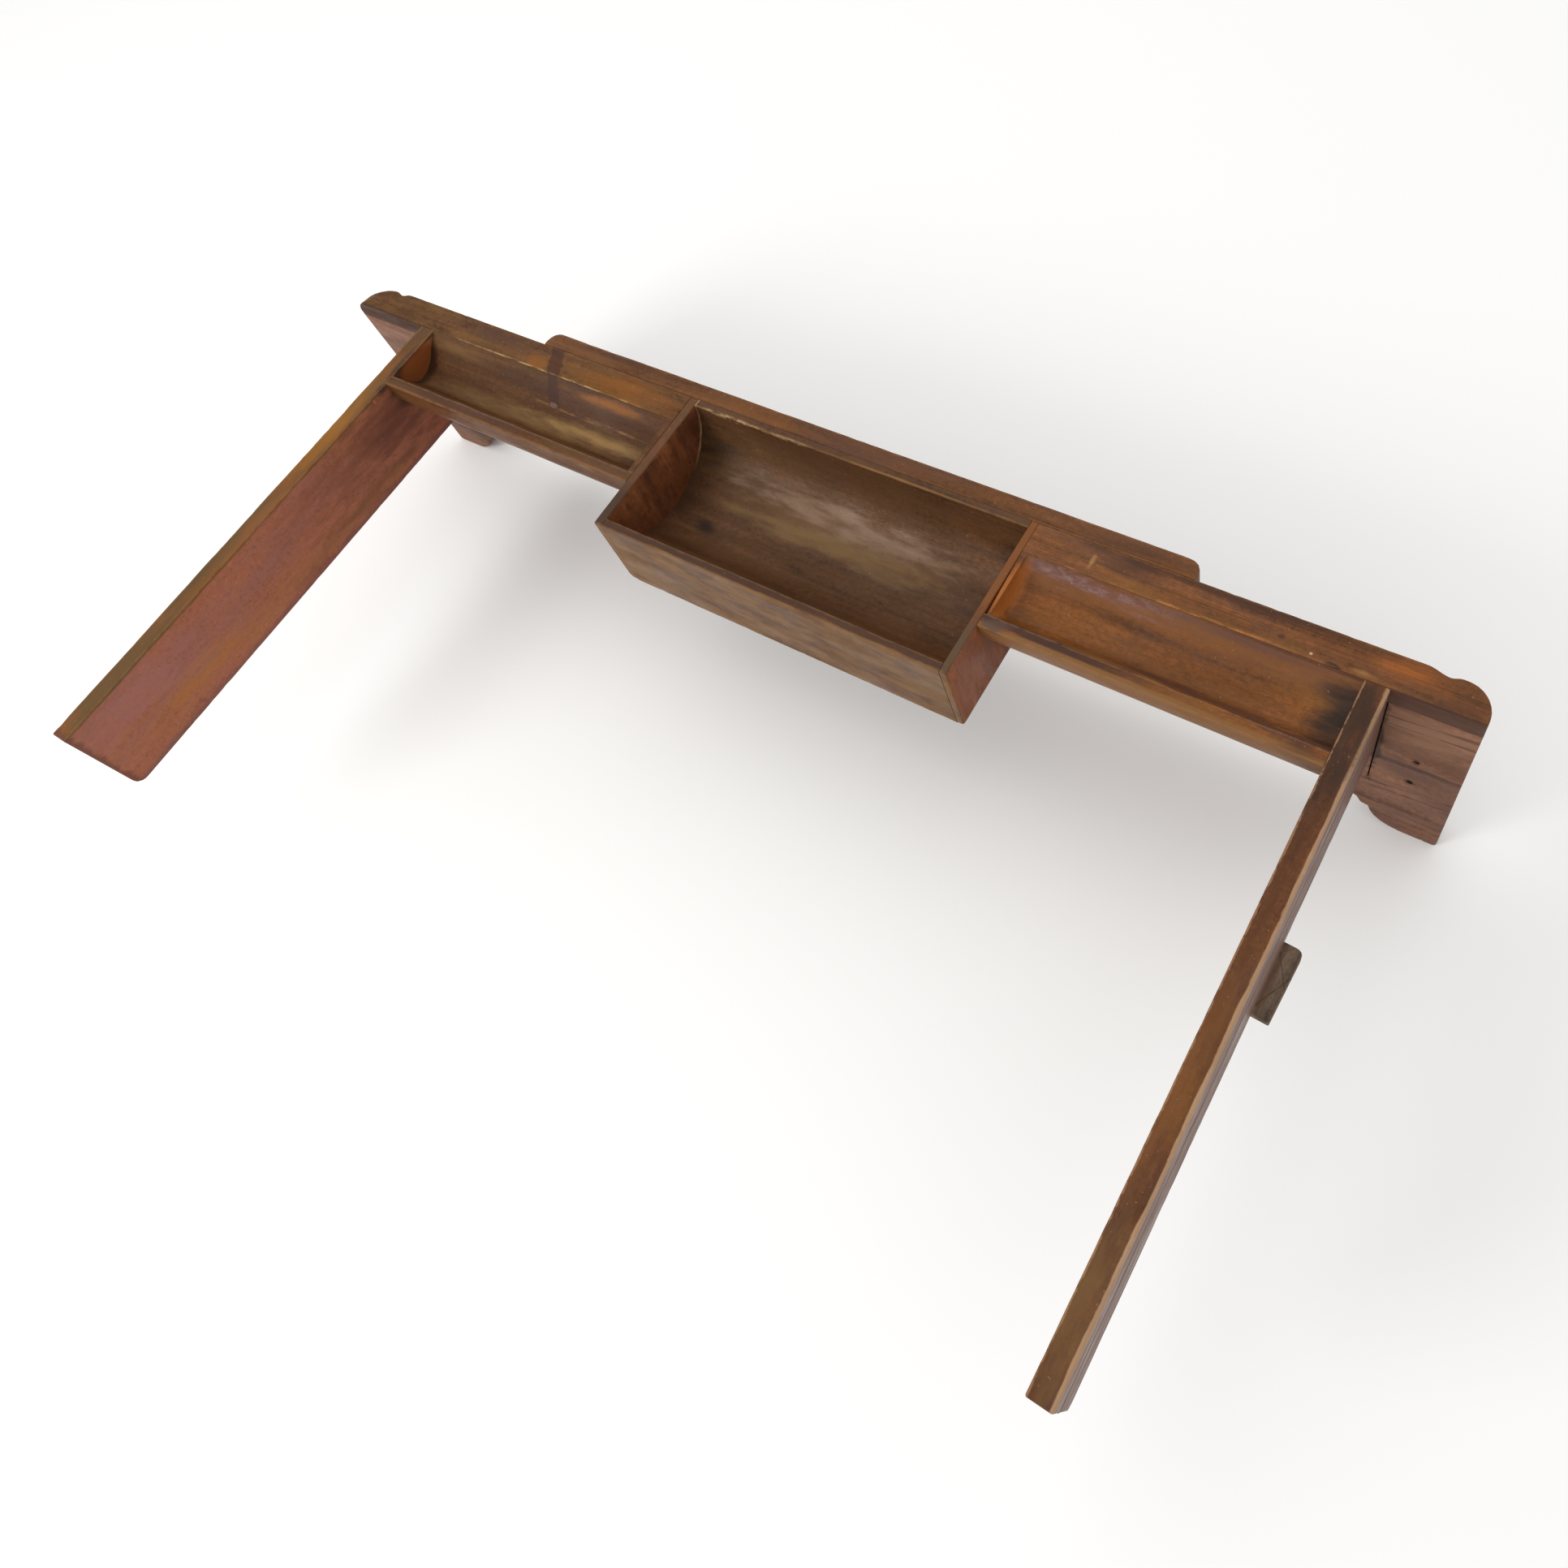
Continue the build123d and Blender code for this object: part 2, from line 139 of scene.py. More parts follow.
def stations(lo, hi, spacing, lo_round, hi_round, extra=()):
    """Places along a board: close together where its ends are rounded, then evenly spaced."""
    places = set(extra)
    for end, inward, radius in ((lo, 1, lo_round), (hi, -1, hi_round)):
        places |= {end + inward * radius * f for f in (0.0, 0.08, 0.3, 0.65, 1.0)}
    start, stop = lo + lo_round, hi - hi_round
    count = max(1, round((stop - start) / spacing))
    places |= {start + (stop - start) * i / count for i in range(1, count)}
    return sorted(places)


def end_inset(distance, radius):
    """How far a rounded end has drawn in at a distance from it."""
    if distance >= radius:
        return 0.0
    return radius - math.sqrt(radius**2 - (radius - distance) ** 2)


def sweep(axis, places, corners_at, rounds, spacing, seed):
    """A board lofted along an axis, as a mesh, with uneven faces and small bites at its edges.

    corners_at(t) gives the section's corners at t, in the other two axes, and rounds the radii
    of its two ends. Every change is inward, so the board stays inside its nominal shape.
    """
    others = [i for i in range(3) if i != axis]
    nominal = corners_at(places[len(places) // 2])
    runs = []
    for i, corner in enumerate(nominal):
        after = nominal[(i + 1) % len(nominal)]
        runs.append(run_shares(math.dist(corner[:2], after[:2]), spacing))
    points, on_corner = outline(nominal, runs)
    area = sum(p.cross(points[i - 1]) for i, p in enumerate(points))
    side = -1.0 if area > 0 else 1.0
    hard = [p for p, flag in zip(points, on_corner) if flag]
    weight = [max((math.exp(-(p - q).length / EDGE_FADE) for q in hard), default=0.0) for p in points]

    bm = bmesh.new()
    wear_layer = bm.loops.layers.float.new("edge")
    wear = {}
    rings = []
    for t in places:
        ring, _ = outline(corners_at(t), runs)
        near_end = min(
            (t - places[0]) if rounds[0] else math.inf, (places[-1] - t) if rounds[1] else math.inf
        )
        inset = end_inset(t - places[0], rounds[0]) + end_inset(places[-1] - t, rounds[1])
        verts = []
        for i, p in enumerate(ring):
            tangent = ring[(i + 1) % len(ring)] - ring[i - 1]
            outward = Vector((tangent.y, -tangent.x)).normalized() * side
            place = Vector((0, 0, 0))
            place[axis], place[others[0]], place[others[1]] = t, p.x, p.y
            slow = noise.noise(place * WAVE_SCALE + Vector((seed, 0, 0)))
            quick = noise.noise(place * NICK_SCALE + Vector((0, seed, 0)))
            bite = max(0.0, quick - NICK_FROM) * NICK * weight[i] * NICK_GAIN
            shift = inset + WAVE * (0.5 + 0.5 * slow) + bite
            q = p - outward * shift
            place[others[0]], place[others[1]] = q.x, q.y
            vert = bm.verts.new(place * MM)
            wear[vert] = max(weight[i], math.exp(-near_end / EDGE_FADE))
            verts.append(vert)
        rings.append(verts)
    for low, high in zip(rings, rings[1:]):
        for i in range(len(low)):
            j = (i + 1) % len(low)
            face = bm.faces.new((low[i], low[j], high[j], high[i]))
            for loop in face.loops:
                loop[wear_layer] = wear[loop.vert]
    bm.faces.new(rings[0])
    bm.faces.new(rings[-1])
    bmesh.ops.recalc_face_normals(bm, faces=bm.faces)
    mesh = bpy.data.meshes.new("board")
    bm.to_mesh(mesh)
    bm.free()
    return mesh


SHARP = math.radians(40)


def add_board(name, node, material, axis, places, section, rounds, seed, spacing=4.0, cutters=()):
    """Lofts a board and puts it in the scene in place of its CAD node."""
    board = bpy.data.objects.new(name, sweep(axis, places, section, rounds, spacing, seed))
    bpy.context.collection.objects.link(board)
    for cutter in cutters:
        cut = board.modifiers.new("cut", "BOOLEAN")
        cut.operation, cut.solver, cut.object = "DIFFERENCE", "MANIFOLD", cutter
    if cutters:
        depsgraph = bpy.context.evaluated_depsgraph_get()
        board_mesh = bpy.data.meshes.new_from_object(board.evaluated_get(depsgraph))
        board.modifiers.clear()
        board.data = board_mesh
        for cutter in cutters:
            bpy.data.objects.remove(cutter)
    board.data.materials.clear()
    board.data.materials.append(material)
    board.data.polygons.foreach_set("use_smooth", [True] * len(board.data.polygons))
    board.data.set_sharp_from_angle(angle=SHARP)
    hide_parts(node)
    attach(board, "root")


def prism(points_low, points_high):
    """A closed cutter between two outlines of the same number of points, in millimetres."""
    bm = bmesh.new()
    low = [bm.verts.new(Vector(p) * MM) for p in points_low]
    high = [bm.verts.new(Vector(p) * MM) for p in points_high]
    bm.faces.new(low)
    bm.faces.new(high)
    for i in range(len(low)):
        j = (i + 1) % len(low)
        bm.faces.new((low[i], low[j], high[j], high[i]))
    bmesh.ops.recalc_face_normals(bm, faces=bm.faces)
    mesh = bpy.data.meshes.new("cutter")
    bm.to_mesh(mesh)
    bm.free()
    cutter = bpy.data.objects.new("cutter", mesh)
    bpy.context.collection.objects.link(cutter)
    return cutter


def block_cutter(lo, hi):
    plan = [(lo[X], lo[Y]), (hi[X], lo[Y]), (hi[X], hi[Y]), (lo[X], hi[Y])]
    return prism([(*p, lo[Z]) for p in plan], [(*p, hi[Z]) for p in plan])


HOLE_SIDES = 16


def round_cutter(x, z, y_lo, y_hi, radius):
    angles = [math.tau * i / HOLE_SIDES for i in range(HOLE_SIDES)]
    ring = [(x + radius * math.cos(a), z + radius * math.sin(a)) for a in angles]
    return prism([(a, y_lo, b) for a, b in ring], [(a, y_hi, b) for a, b in ring])


def smooth_value(a, b, c, d, s):
    """A Catmull-Rom curve's value at share s of the way from b to c."""
    return 0.5 * (2 * b + (c - a) * s + (2 * a - 5 * b + 4 * c - d) * s**2 + (3 * b - a - 3 * c + d) * s**3)


def curve_through(points, steps=6):
    """Plain section corners on a smooth curve through points."""
    found = []
    for i in range(len(points) - 1):
        p0, p1 = points[max(i - 1, 0)], points[i]
        p2, p3 = points[i + 1], points[min(i + 2, len(points) - 1)]
        for k in range(steps):
            found.append((*(smooth_value(*four, k / steps) for four in zip(p0, p1, p2, p3)), 0))
    return found + [(*points[-1], 0)]


def wander(t, scale, seed):
    """A slow, even wander between -1 and 1 along a board."""
    return noise.noise(Vector((t / scale, seed, 0.37)))


# Rail and cap: their back corners in plan -----------------

OVOLO_START, BEAD_DROP, COVE_DROP = 2.5, 1.0, 2.9
# How far in from each end the ovolo, the bead, the cove's low point and the cove finish.
RIGHT_END, LEFT_END = (19.0, 21.5, 28.0, 42.0), (33.0, 35.5, 42.6, 50.0)
LEFT_ROUNDING = 15.0


def ease(share):
    """A smooth step from 0 to 1."""
    return share * share * (3 - 2 * share)


def back_edge(x, height=0.0):
    """The rail's back face at x: an ovolo, a bead and a cove at each end.

    The cap's left end also rolls over with height above its base.
    """
    shift = 0.0
    if x > 0:
        from_end, (ovolo, bead, low, back) = rail_hi[X] - x, RIGHT_END
    else:
        from_end, (ovolo, bead, low, back) = x - rail_lo[X], LEFT_END
        share = min(1.0, max(0.0, height / (TOP - CAP_BOTTOM)))
        shift = LEFT_ROUNDING * (1 - math.sqrt(1 - share**2))
    bead_y, low_y, front_y = RAIL_BACK - BEAD_DROP, RAIL_BACK - COVE_DROP, RAIL_FRONT + OVOLO_START
    if from_end <= ovolo:
        reach = max(0.0, from_end - shift) / (ovolo - shift)
        return front_y + (bead_y - front_y) * math.sqrt(1 - (1 - reach) ** 2)
    if from_end <= bead:
        return bead_y
    if from_end <= low:
        return bead_y + (low_y - bead_y) * ease((from_end - bead) / (low - bead))
    if from_end <= back:
        return low_y + (RAIL_BACK - low_y) * ease((from_end - low) / (back - low))
    return RAIL_BACK


def end_places(side, profile):
    """Stations that follow the moulded corner at one end of the rail."""
    ovolo, bead, low, back = profile
    end = rail_hi[X] if side > 0 else rail_lo[X]
    found = [end - side * ovolo * (1 - math.cos(math.pi / 2 * i / 9)) for i in range(10)]
    found += [end - side * (bead + (low - bead) * i / 4) for i in range(4)]
    found += [end - side * (low + (back - low) * i / 4) for i in range(5)]
    return found


TOE_RADIUS = 3.5
# How far in from the rail's end, and how high its lower edge is there.
ARCH = ((27, 0), (32, 1.2), (39, 4.5), (44, 9), (47, 13.5), (49.5, 20.5), (54.5, 21.5), (58, 28), (64, 31),
        (74, 37.5), (85, 43), (98, 46.6), (111, 48))


def arch_height(x):
    """The rail's lower edge: toes, a stepped ogee and a flat arch."""
    d = rail_hi[X] - abs(x)
    if d < TOE_RADIUS:
        return end_inset(d, TOE_RADIUS)
    if d <= ARCH[0][0]:
        return 0.0
    for (d0, z0), (d1, z1) in zip(ARCH, ARCH[1:]):
        if d <= d1:
            return z0 + (z1 - z0) * (d - d0) / (d1 - d0)
    return ARCH[-1][1]


def rail_section(x):
    in_notch = NOTCH_LEFT < x < NOTCH_RIGHT
    top = tray_lo[Z] if in_notch else rail_hi[Z]
    bottom, back = arch_height(x), back_edge(x)
    worn = 1.3 + 0.6 * wander(x, 40, 3.1)
    return [(RAIL_FRONT, bottom, worn), (back, bottom, worn), (back, top, 0.3), (RAIL_FRONT, top, 0.3)]


THIN = 0.4


def cap_section(x):
    """The cap is never thinner than THIN where its left end rolls over."""
    wear = 1.5 + 0.5 * wander(x, 23, 7.7)
    from_left = x - rail_lo[X]
    top = TOP
    if from_left < LEFT_ROUNDING:
        share = 1 - from_left / LEFT_ROUNDING
        top = CAP_BOTTOM + (TOP - CAP_BOTTOM - THIN) * math.sqrt(max(0.0, 1 - share**2)) + THIN

    def back(z):
        return max(back_edge(x, z - CAP_BOTTOM), RAIL_FRONT + 0.5)

    levels = [CAP_BOTTOM + (top - CAP_BOTTOM) * f for f in (0.25, 0.5, 0.75, 0.9)]
    by_trough = left_trough_lo[X] < x < right_trough_hi[X]
    return [
        (RAIL_FRONT, CAP_BOTTOM, 0.4), (back(CAP_BOTTOM), CAP_BOTTOM, 0.4), *((back(z), z, 0) for z in levels),
        (back(top), top, wear), (RAIL_FRONT, top, 0.6 if by_trough else wear),
    ]


CLEAT_ROUND = 9.0


def cleat_section(x):
    d = min(x - cleat_lo[X], cleat_hi[X] - x)
    back = cleat_hi[Y] - end_inset(d, CLEAT_ROUND)
    worn = 1.4 + 0.5 * wander(x, 30, 5.5)
    front, low = cleat_lo[Y], cleat_lo[Z]
    return [(front, low, 0.3), (back, low, worn), (back, TOP, worn), (front, TOP, 0.5)]


# Arms -----------------------------------------------------

TIP_RADIUS, LINE_Z, LINE_WIDTH, LINE_DEPTH = 8.0, TOP - 30.0, 2.4, 1.5


def arm_section(lo, hi, outer_side):
    """An arm, with a line cut along its outer face."""
    outer, inner = (hi[X], lo[X]) if outer_side > 0 else (lo[X], hi[X])

    def section(y):
        tip = y - lo[Y]
        bottom = lo[Z] + end_inset(tip, TIP_RADIUS)
        top = CAP_BOTTOM if y > RAIL_FRONT else TOP
        groove = LINE_DEPTH * (0.85 + 0.15 * wander(y, 17, outer_side))
        edge = outer - outer_side * groove
        soft = 1.9 + 0.6 * wander(y, 26, 4.4 + outer_side)
        low, high = LINE_Z - LINE_WIDTH / 2, LINE_Z + LINE_WIDTH / 2
        return [
            (inner, bottom, 1.0), (outer, bottom, 1.2), (outer, low, 0.35), (edge, low, 0),
            (edge, high, 0), (outer, high, 0.35), (outer, top, soft), (inner, top, 0.9),
        ]

    return section


# Tray -----------------------------------------------------

FRONT_WALL, BACK_WALL, SCOOP_DEPTH, SCOOP_FRONT = 7.2, 5.9, 53.5, 48.5
FRONT_STEPS, BACK_STEPS = 10, 16


def tray_section(x):
    """The tray's scoop: a short steep curve at the front and a long one at the back."""
    front, back = tray_lo[Y], tray_hi[Y]
    mouth_front, mouth_back = front + FRONT_WALL, back - BACK_WALL
    low = mouth_front + SCOOP_FRONT
    rim = 1.3 + 0.9 * max(0.0, wander(x, 12, 2.2)) + 0.5 * wander(x, 45, 6.1)
    scoop = []
    for i in range(1, FRONT_STEPS + 1):
        a = math.pi / 2 * i / (FRONT_STEPS + 1)
        scoop.append((low - SCOOP_FRONT * math.cos(a), TOP - SCOOP_DEPTH * math.sin(a), 0))
    scoop.append((low, TOP - SCOOP_DEPTH, 0))
    for i in range(1, BACK_STEPS + 1):
        a = math.pi / 2 * (1 - i / (BACK_STEPS + 1))
        scoop.append((low + (mouth_back - low) * math.cos(a), TOP - SCOOP_DEPTH * math.sin(a), 0))
    return [
        (front, tray_lo[Z], 2.6), (front, TOP, 1.0), (mouth_front, TOP, rim), *scoop,
        (mouth_back, TOP, 1.0 + 0.4 * wander(x, 15, 9.1)), (back, TOP, 0.4), (back, tray_lo[Z], 0.8),
    ]


END_ROUND_STEPS = (0.03, 0.12, 0.3, 0.6, 1.0)


def end_board_section(outer, worn, low_round):
    """An end board's section. Its lower edge is rounded towards the outer face."""

    def section(x):
        bottom = left_end_lo[Z] + end_inset(abs(x - outer), low_round)
        return [
            (left_end_lo[Y], bottom, 4.0), (left_end_lo[Y], TOP, worn + 0.4),
            (left_end_hi[Y], TOP, 0.6), (left_end_hi[Y], bottom, 0.8),
        ]

    return section


# Troughs --------------------------------------------------

BACK_LAND, RUN_OUT, BELLY_STEPS = 1.0, 9.0, 8
RUN_OUT_STEPS = (0, 0.03, 0.1, 0.25, 0.5)
LEFT_WALL, RIGHT_WALL = 4.5, 4.0
LEFT_HOLLOW = [(150.5, 167.2), (161.75, 165.5), (169.5, 169.0), (174.6, 173.4), (181.5, 181.0)]
RIGHT_HOLLOW = [(148.0, 174.3), (156.0, 172.5), (164.0, 172.6), (172.0, 174.6), (179.0, 178.2), (185.0, 182.8)]


def trough_section(lo, hi, rim, belly, hollow, wall_side, wall, far_depth):
    """A trough with a hollow cut by a gouge, which runs out in a curve at the tray's side.

    rim is the front wall's thickness, belly the radius of the front's lower edge, hollow the
    curve's points, wall the thickness left at the tray, on the side wall_side, and far_depth
    the hollow's depth at its right end as a share of that at its left end.
    """
    lip_back = hi[Y] - BACK_LAND

    def section(x):
        if wall_side > 0:
            into = (hi[X] - wall) - x
        else:
            into = x - (lo[X] + wall)
        share = min(1.0, max(0.0, into / RUN_OUT))
        far = (x - lo[X]) / (hi[X] - lo[X])
        deep = math.sqrt(1 - (1 - share) ** 2) * (1 + (far_depth - 1) * far)
        inner_rim = lo[Y] + rim + 0.7 * wander(x, 21, 8.3) * share
        curve = curve_through([(inner_rim + 0.6, TOP - 1.0), *hollow, (lip_back - 0.5, TOP - 0.8)])
        floor = [(y, TOP - 0.02 - (TOP - z) * deep, 0) for y, z, _ in curve[1:-1]]
        arc = [(lo[Y] + belly, lo[Z], 0)]
        for i in range(1, BELLY_STEPS + 1):
            a = math.pi / 2 * i / (BELLY_STEPS + 1)
            arc.append((lo[Y] + belly * (1 - math.sin(a)), lo[Z] + belly * (1 - math.cos(a)), 0))
        arc.append((lo[Y], lo[Z] + belly, 0))
        worn = 1.1 + 0.6 * wander(x, 14, 1.9)
        return [
            (hi[Y], lo[Z], 0.6), *arc, (lo[Y], TOP, worn), (inner_rim, TOP, worn + 0.3),
            *floor, (lip_back, TOP, 0.5), (hi[Y], TOP, 0.2),
        ]

    return section


# Lug ------------------------------------------------------

LUG_TURN, LUG_LENGTH, LUG_WIDTH, LUG_CORNER = math.radians(-2.0), 48.0, 25.6, 5.0
LUG_MIDDLE = Vector(((lug_lo[X] + lug_hi[X]) / 2, (lug_lo[Y] + lug_hi[Y]) / 2))


def lug_section(_):
    """The lug's plan, turned a little, with one rounded corner."""
    w, l = LUG_WIDTH / 2, LUG_LENGTH / 2
    turn = Matrix.Rotation(LUG_TURN, 2)
    corners = ((-w, -l, 0.8), (w, -l, 1.0), (w, l, LUG_CORNER), (-w, l, 0.8))
    return [(*(LUG_MIDDLE + turn @ Vector((a, b))), r) for a, b, r in corners]


# Shaders --------------------------------------------------


def along(axis, lengthwise, across):
    """A scale that is low along the grain and high across it."""
    return tuple(lengthwise if i == axis else across for i in range(3))


class Shader:
    """A material's node tree, with short calls for the nodes that the woods share."""

    def __init__(self, name, grain=None):
        self.grain = grain
        self.colour = None
        self.material = bpy.data.materials.new(name)
        self.material.use_nodes = True
        self.tree = self.material.node_tree
        self.tree.nodes.clear()
        self.place = self.new("ShaderNodeTexCoord").outputs["Object"]

    def new(self, kind, **settings):
        node = self.tree.nodes.new(kind)
        for key, value in settings.items():
            setattr(node, key, value)
        return node

    def feed(self, socket, value):
        """Links a socket, or sets a plain number, colour or vector on it."""
        if isinstance(value, bpy.types.NodeSocket):
            self.tree.links.new(value, socket)
        elif isinstance(value, tuple) and len(value) == 3 and socket.type == "RGBA":
            socket.default_value = (*value, 1.0)
        else:
            socket.default_value = value

    def math(self, operation, a, b=0.0, clamp=False):
        node = self.new("ShaderNodeMath", operation=operation, use_clamp=clamp)
        self.feed(node.inputs[0], a)
        self.feed(node.inputs[1], b)
        return node.outputs[0]

    def total(self, *terms, clamp=False):
        """The sum of all terms. clamp holds it between 0 and 1."""
        found = terms[0]
        for i, term in enumerate(terms[1:], 2):
            found = self.math("ADD", found, term, clamp and i == len(terms))
        return found

    def both(self, a, b):
        return self.math("MULTIPLY", a, b)

    def stretch(self, scale, offset=(0, 0, 0), vector=None):
        """Object coordinates scaled by axis, so that a texture can be drawn out along a grain."""
        node = self.new("ShaderNodeMapping", vector_type="POINT")
        self.feed(node.inputs["Vector"], vector or self.place)
        node.inputs["Location"].default_value = offset
        node.inputs["Scale"].default_value = scale
        return node.outputs[0]

    def noise(self, vector, detail=4.0, roughness=0.55, distortion=0.0, output="Fac"):
        node = self.new("ShaderNodeTexNoise", noise_dimensions="3D")
        self.feed(node.inputs["Vector"], vector)
        settings = {"Scale": 1.0, "Detail": detail, "Roughness": roughness, "Distortion": distortion}
        for name, number in settings.items():
            node.inputs[name].default_value = number
        return node.outputs[output]

    def ramp(self, value, low, high, out_low=0.0, out_high=1.0):
        """A smooth step of value from low to high."""
        node = self.new("ShaderNodeMapRange", interpolation_type="SMOOTHSTEP", clamp=True)
        self.feed(node.inputs["Value"], value)
        names = ("From Min", "From Max", "To Min", "To Max")
        for name, number in zip(names, (low, high, out_low, out_high)):
            node.inputs[name].default_value = number
        return node.outputs[0]

    def swing(self, value, spread, amount):
        """A smooth swing from -amount to amount, as value passes its middle by spread each way."""
        return self.ramp(value, 0.5 - spread, 0.5 + spread, -amount, amount)

    def mix(self, factor, a, b):
        """One colour turning into another. The node's colour sockets are 6, 7 and output 2."""
        node = self.new("ShaderNodeMix", data_type="RGBA")
        self.feed(node.inputs[0], factor)
        self.feed(node.inputs[6], a)
        self.feed(node.inputs[7], b)
        return node.outputs[2]

    def axes(self):
        """The place's x, y and z, in metres."""
        node = self.new("ShaderNodeSeparateXYZ")
        self.feed(node.inputs[0], self.place)
        return node.outputs[0], node.outputs[1], node.outputs[2]

    def ragged(self, amount):
        """Noise drawn out along the grain, for the edges of stains and of painted light and shade."""
        return self.swing(self.noise(self.stretch(along(self.grain, 34, 130))), 0.25, amount)

    def blob(self, centre, radii, soft=1.0, wobble=0.25):
        """A soft-edged patch round a point in millimetres, with an edge made uneven by noise."""
        shift = self.new("ShaderNodeVectorMath", operation="SUBTRACT")
        self.feed(shift.inputs[0], self.place)
        shift.inputs[1].default_value = tuple(v * MM for v in centre)
        size = self.new("ShaderNodeVectorMath", operation="DIVIDE")
        self.feed(size.inputs[0], shift.outputs[0])
        size.inputs[1].default_value = tuple(v * MM for v in radii)
        reach = self.new("ShaderNodeVectorMath", operation="LENGTH")
        self.feed(reach.inputs[0], size.outputs[0])
        edge = self.math("ADD", reach.outputs["Value"], self.ragged(wobble))
        return self.ramp(edge, 1.0 - soft, 1.0, 1.0, 0.0)

    def band(self, point, normal, half, soft=2.0, wobble=1.5):
        """A stripe between two parallel planes, given by its middle point in millimetres."""
        n = Vector(normal).normalized()
        dot = self.new("ShaderNodeVectorMath", operation="DOT_PRODUCT")
        self.feed(dot.inputs[0], self.place)
        dot.inputs[1].default_value = tuple(n)
        away = self.math("ABSOLUTE", self.math("SUBTRACT", dot.outputs["Value"], n.dot(Vector(point)) * MM))
        away = self.math("ADD", away, self.ragged(wobble * MM))
        return self.ramp(away, (half - soft / 2) * MM, (half + soft / 2) * MM, 1.0, 0.0)

    def past(self, axis, start, end, wobble=0.0):
        """A mask that grows along an axis from start to end, in millimetres."""
        place = self.axes()[axis]
        if wobble:
            place = self.math("ADD", place, self.ragged(wobble * MM))
        return self.ramp(place, start * MM, end * MM)

    def flecked(self, mask, scale, low=0.42, high=0.6):
        """A mask broken up by noise of a scale, for varnish scuffed away and for painted glints and sheen that
        break up.
        """
        flecks = self.noise(self.stretch(scale), detail=6.0, roughness=0.75)
        return self.both(mask, self.ramp(flecks, low, high))

    def lay_paint(self, mask, paint, strength=1.0):
        """Lays paint over the colour so far, where a mask allows."""
        self.colour = self.mix(self.both(mask, strength), self.colour, paint)

    def spot(self, centre, radii, paint, strength, soft=1.0, wobble=0.25):
        """Lays paint on one blob."""
        self.lay_paint(self.blob(centre, radii, soft, wobble), paint, strength)

    def bump(self, height, strength, distance):
        node = self.new("ShaderNodeBump")
        node.inputs["Strength"].default_value = strength
        node.inputs["Distance"].default_value = distance
        self.feed(node.inputs["Height"], height)
        return node.outputs[0]

    def surface(self, roughness, gloss=0.5, metallic=0.0, normal=None):
        """Ends the tree in one shader that takes the colour so far."""
        body = self.new("ShaderNodeBsdfPrincipled")
        self.feed(body.inputs["Base Color"], self.colour)
        self.feed(body.inputs["Roughness"], roughness)
        body.inputs["Specular IOR Level"].default_value = gloss
        body.inputs["Metallic"].default_value = metallic
        if normal:
            self.feed(body.inputs["Normal"], normal)
        out = self.new("ShaderNodeOutputMaterial")
        self.feed(out.inputs["Surface"], body.outputs[0])
        return self.material


def scaled(colour, factor):
    return tuple(c * factor for c in colour)


SPECK, DIRT = (0.36, 0.24, 0.14), (0.030, 0.014, 0.008)


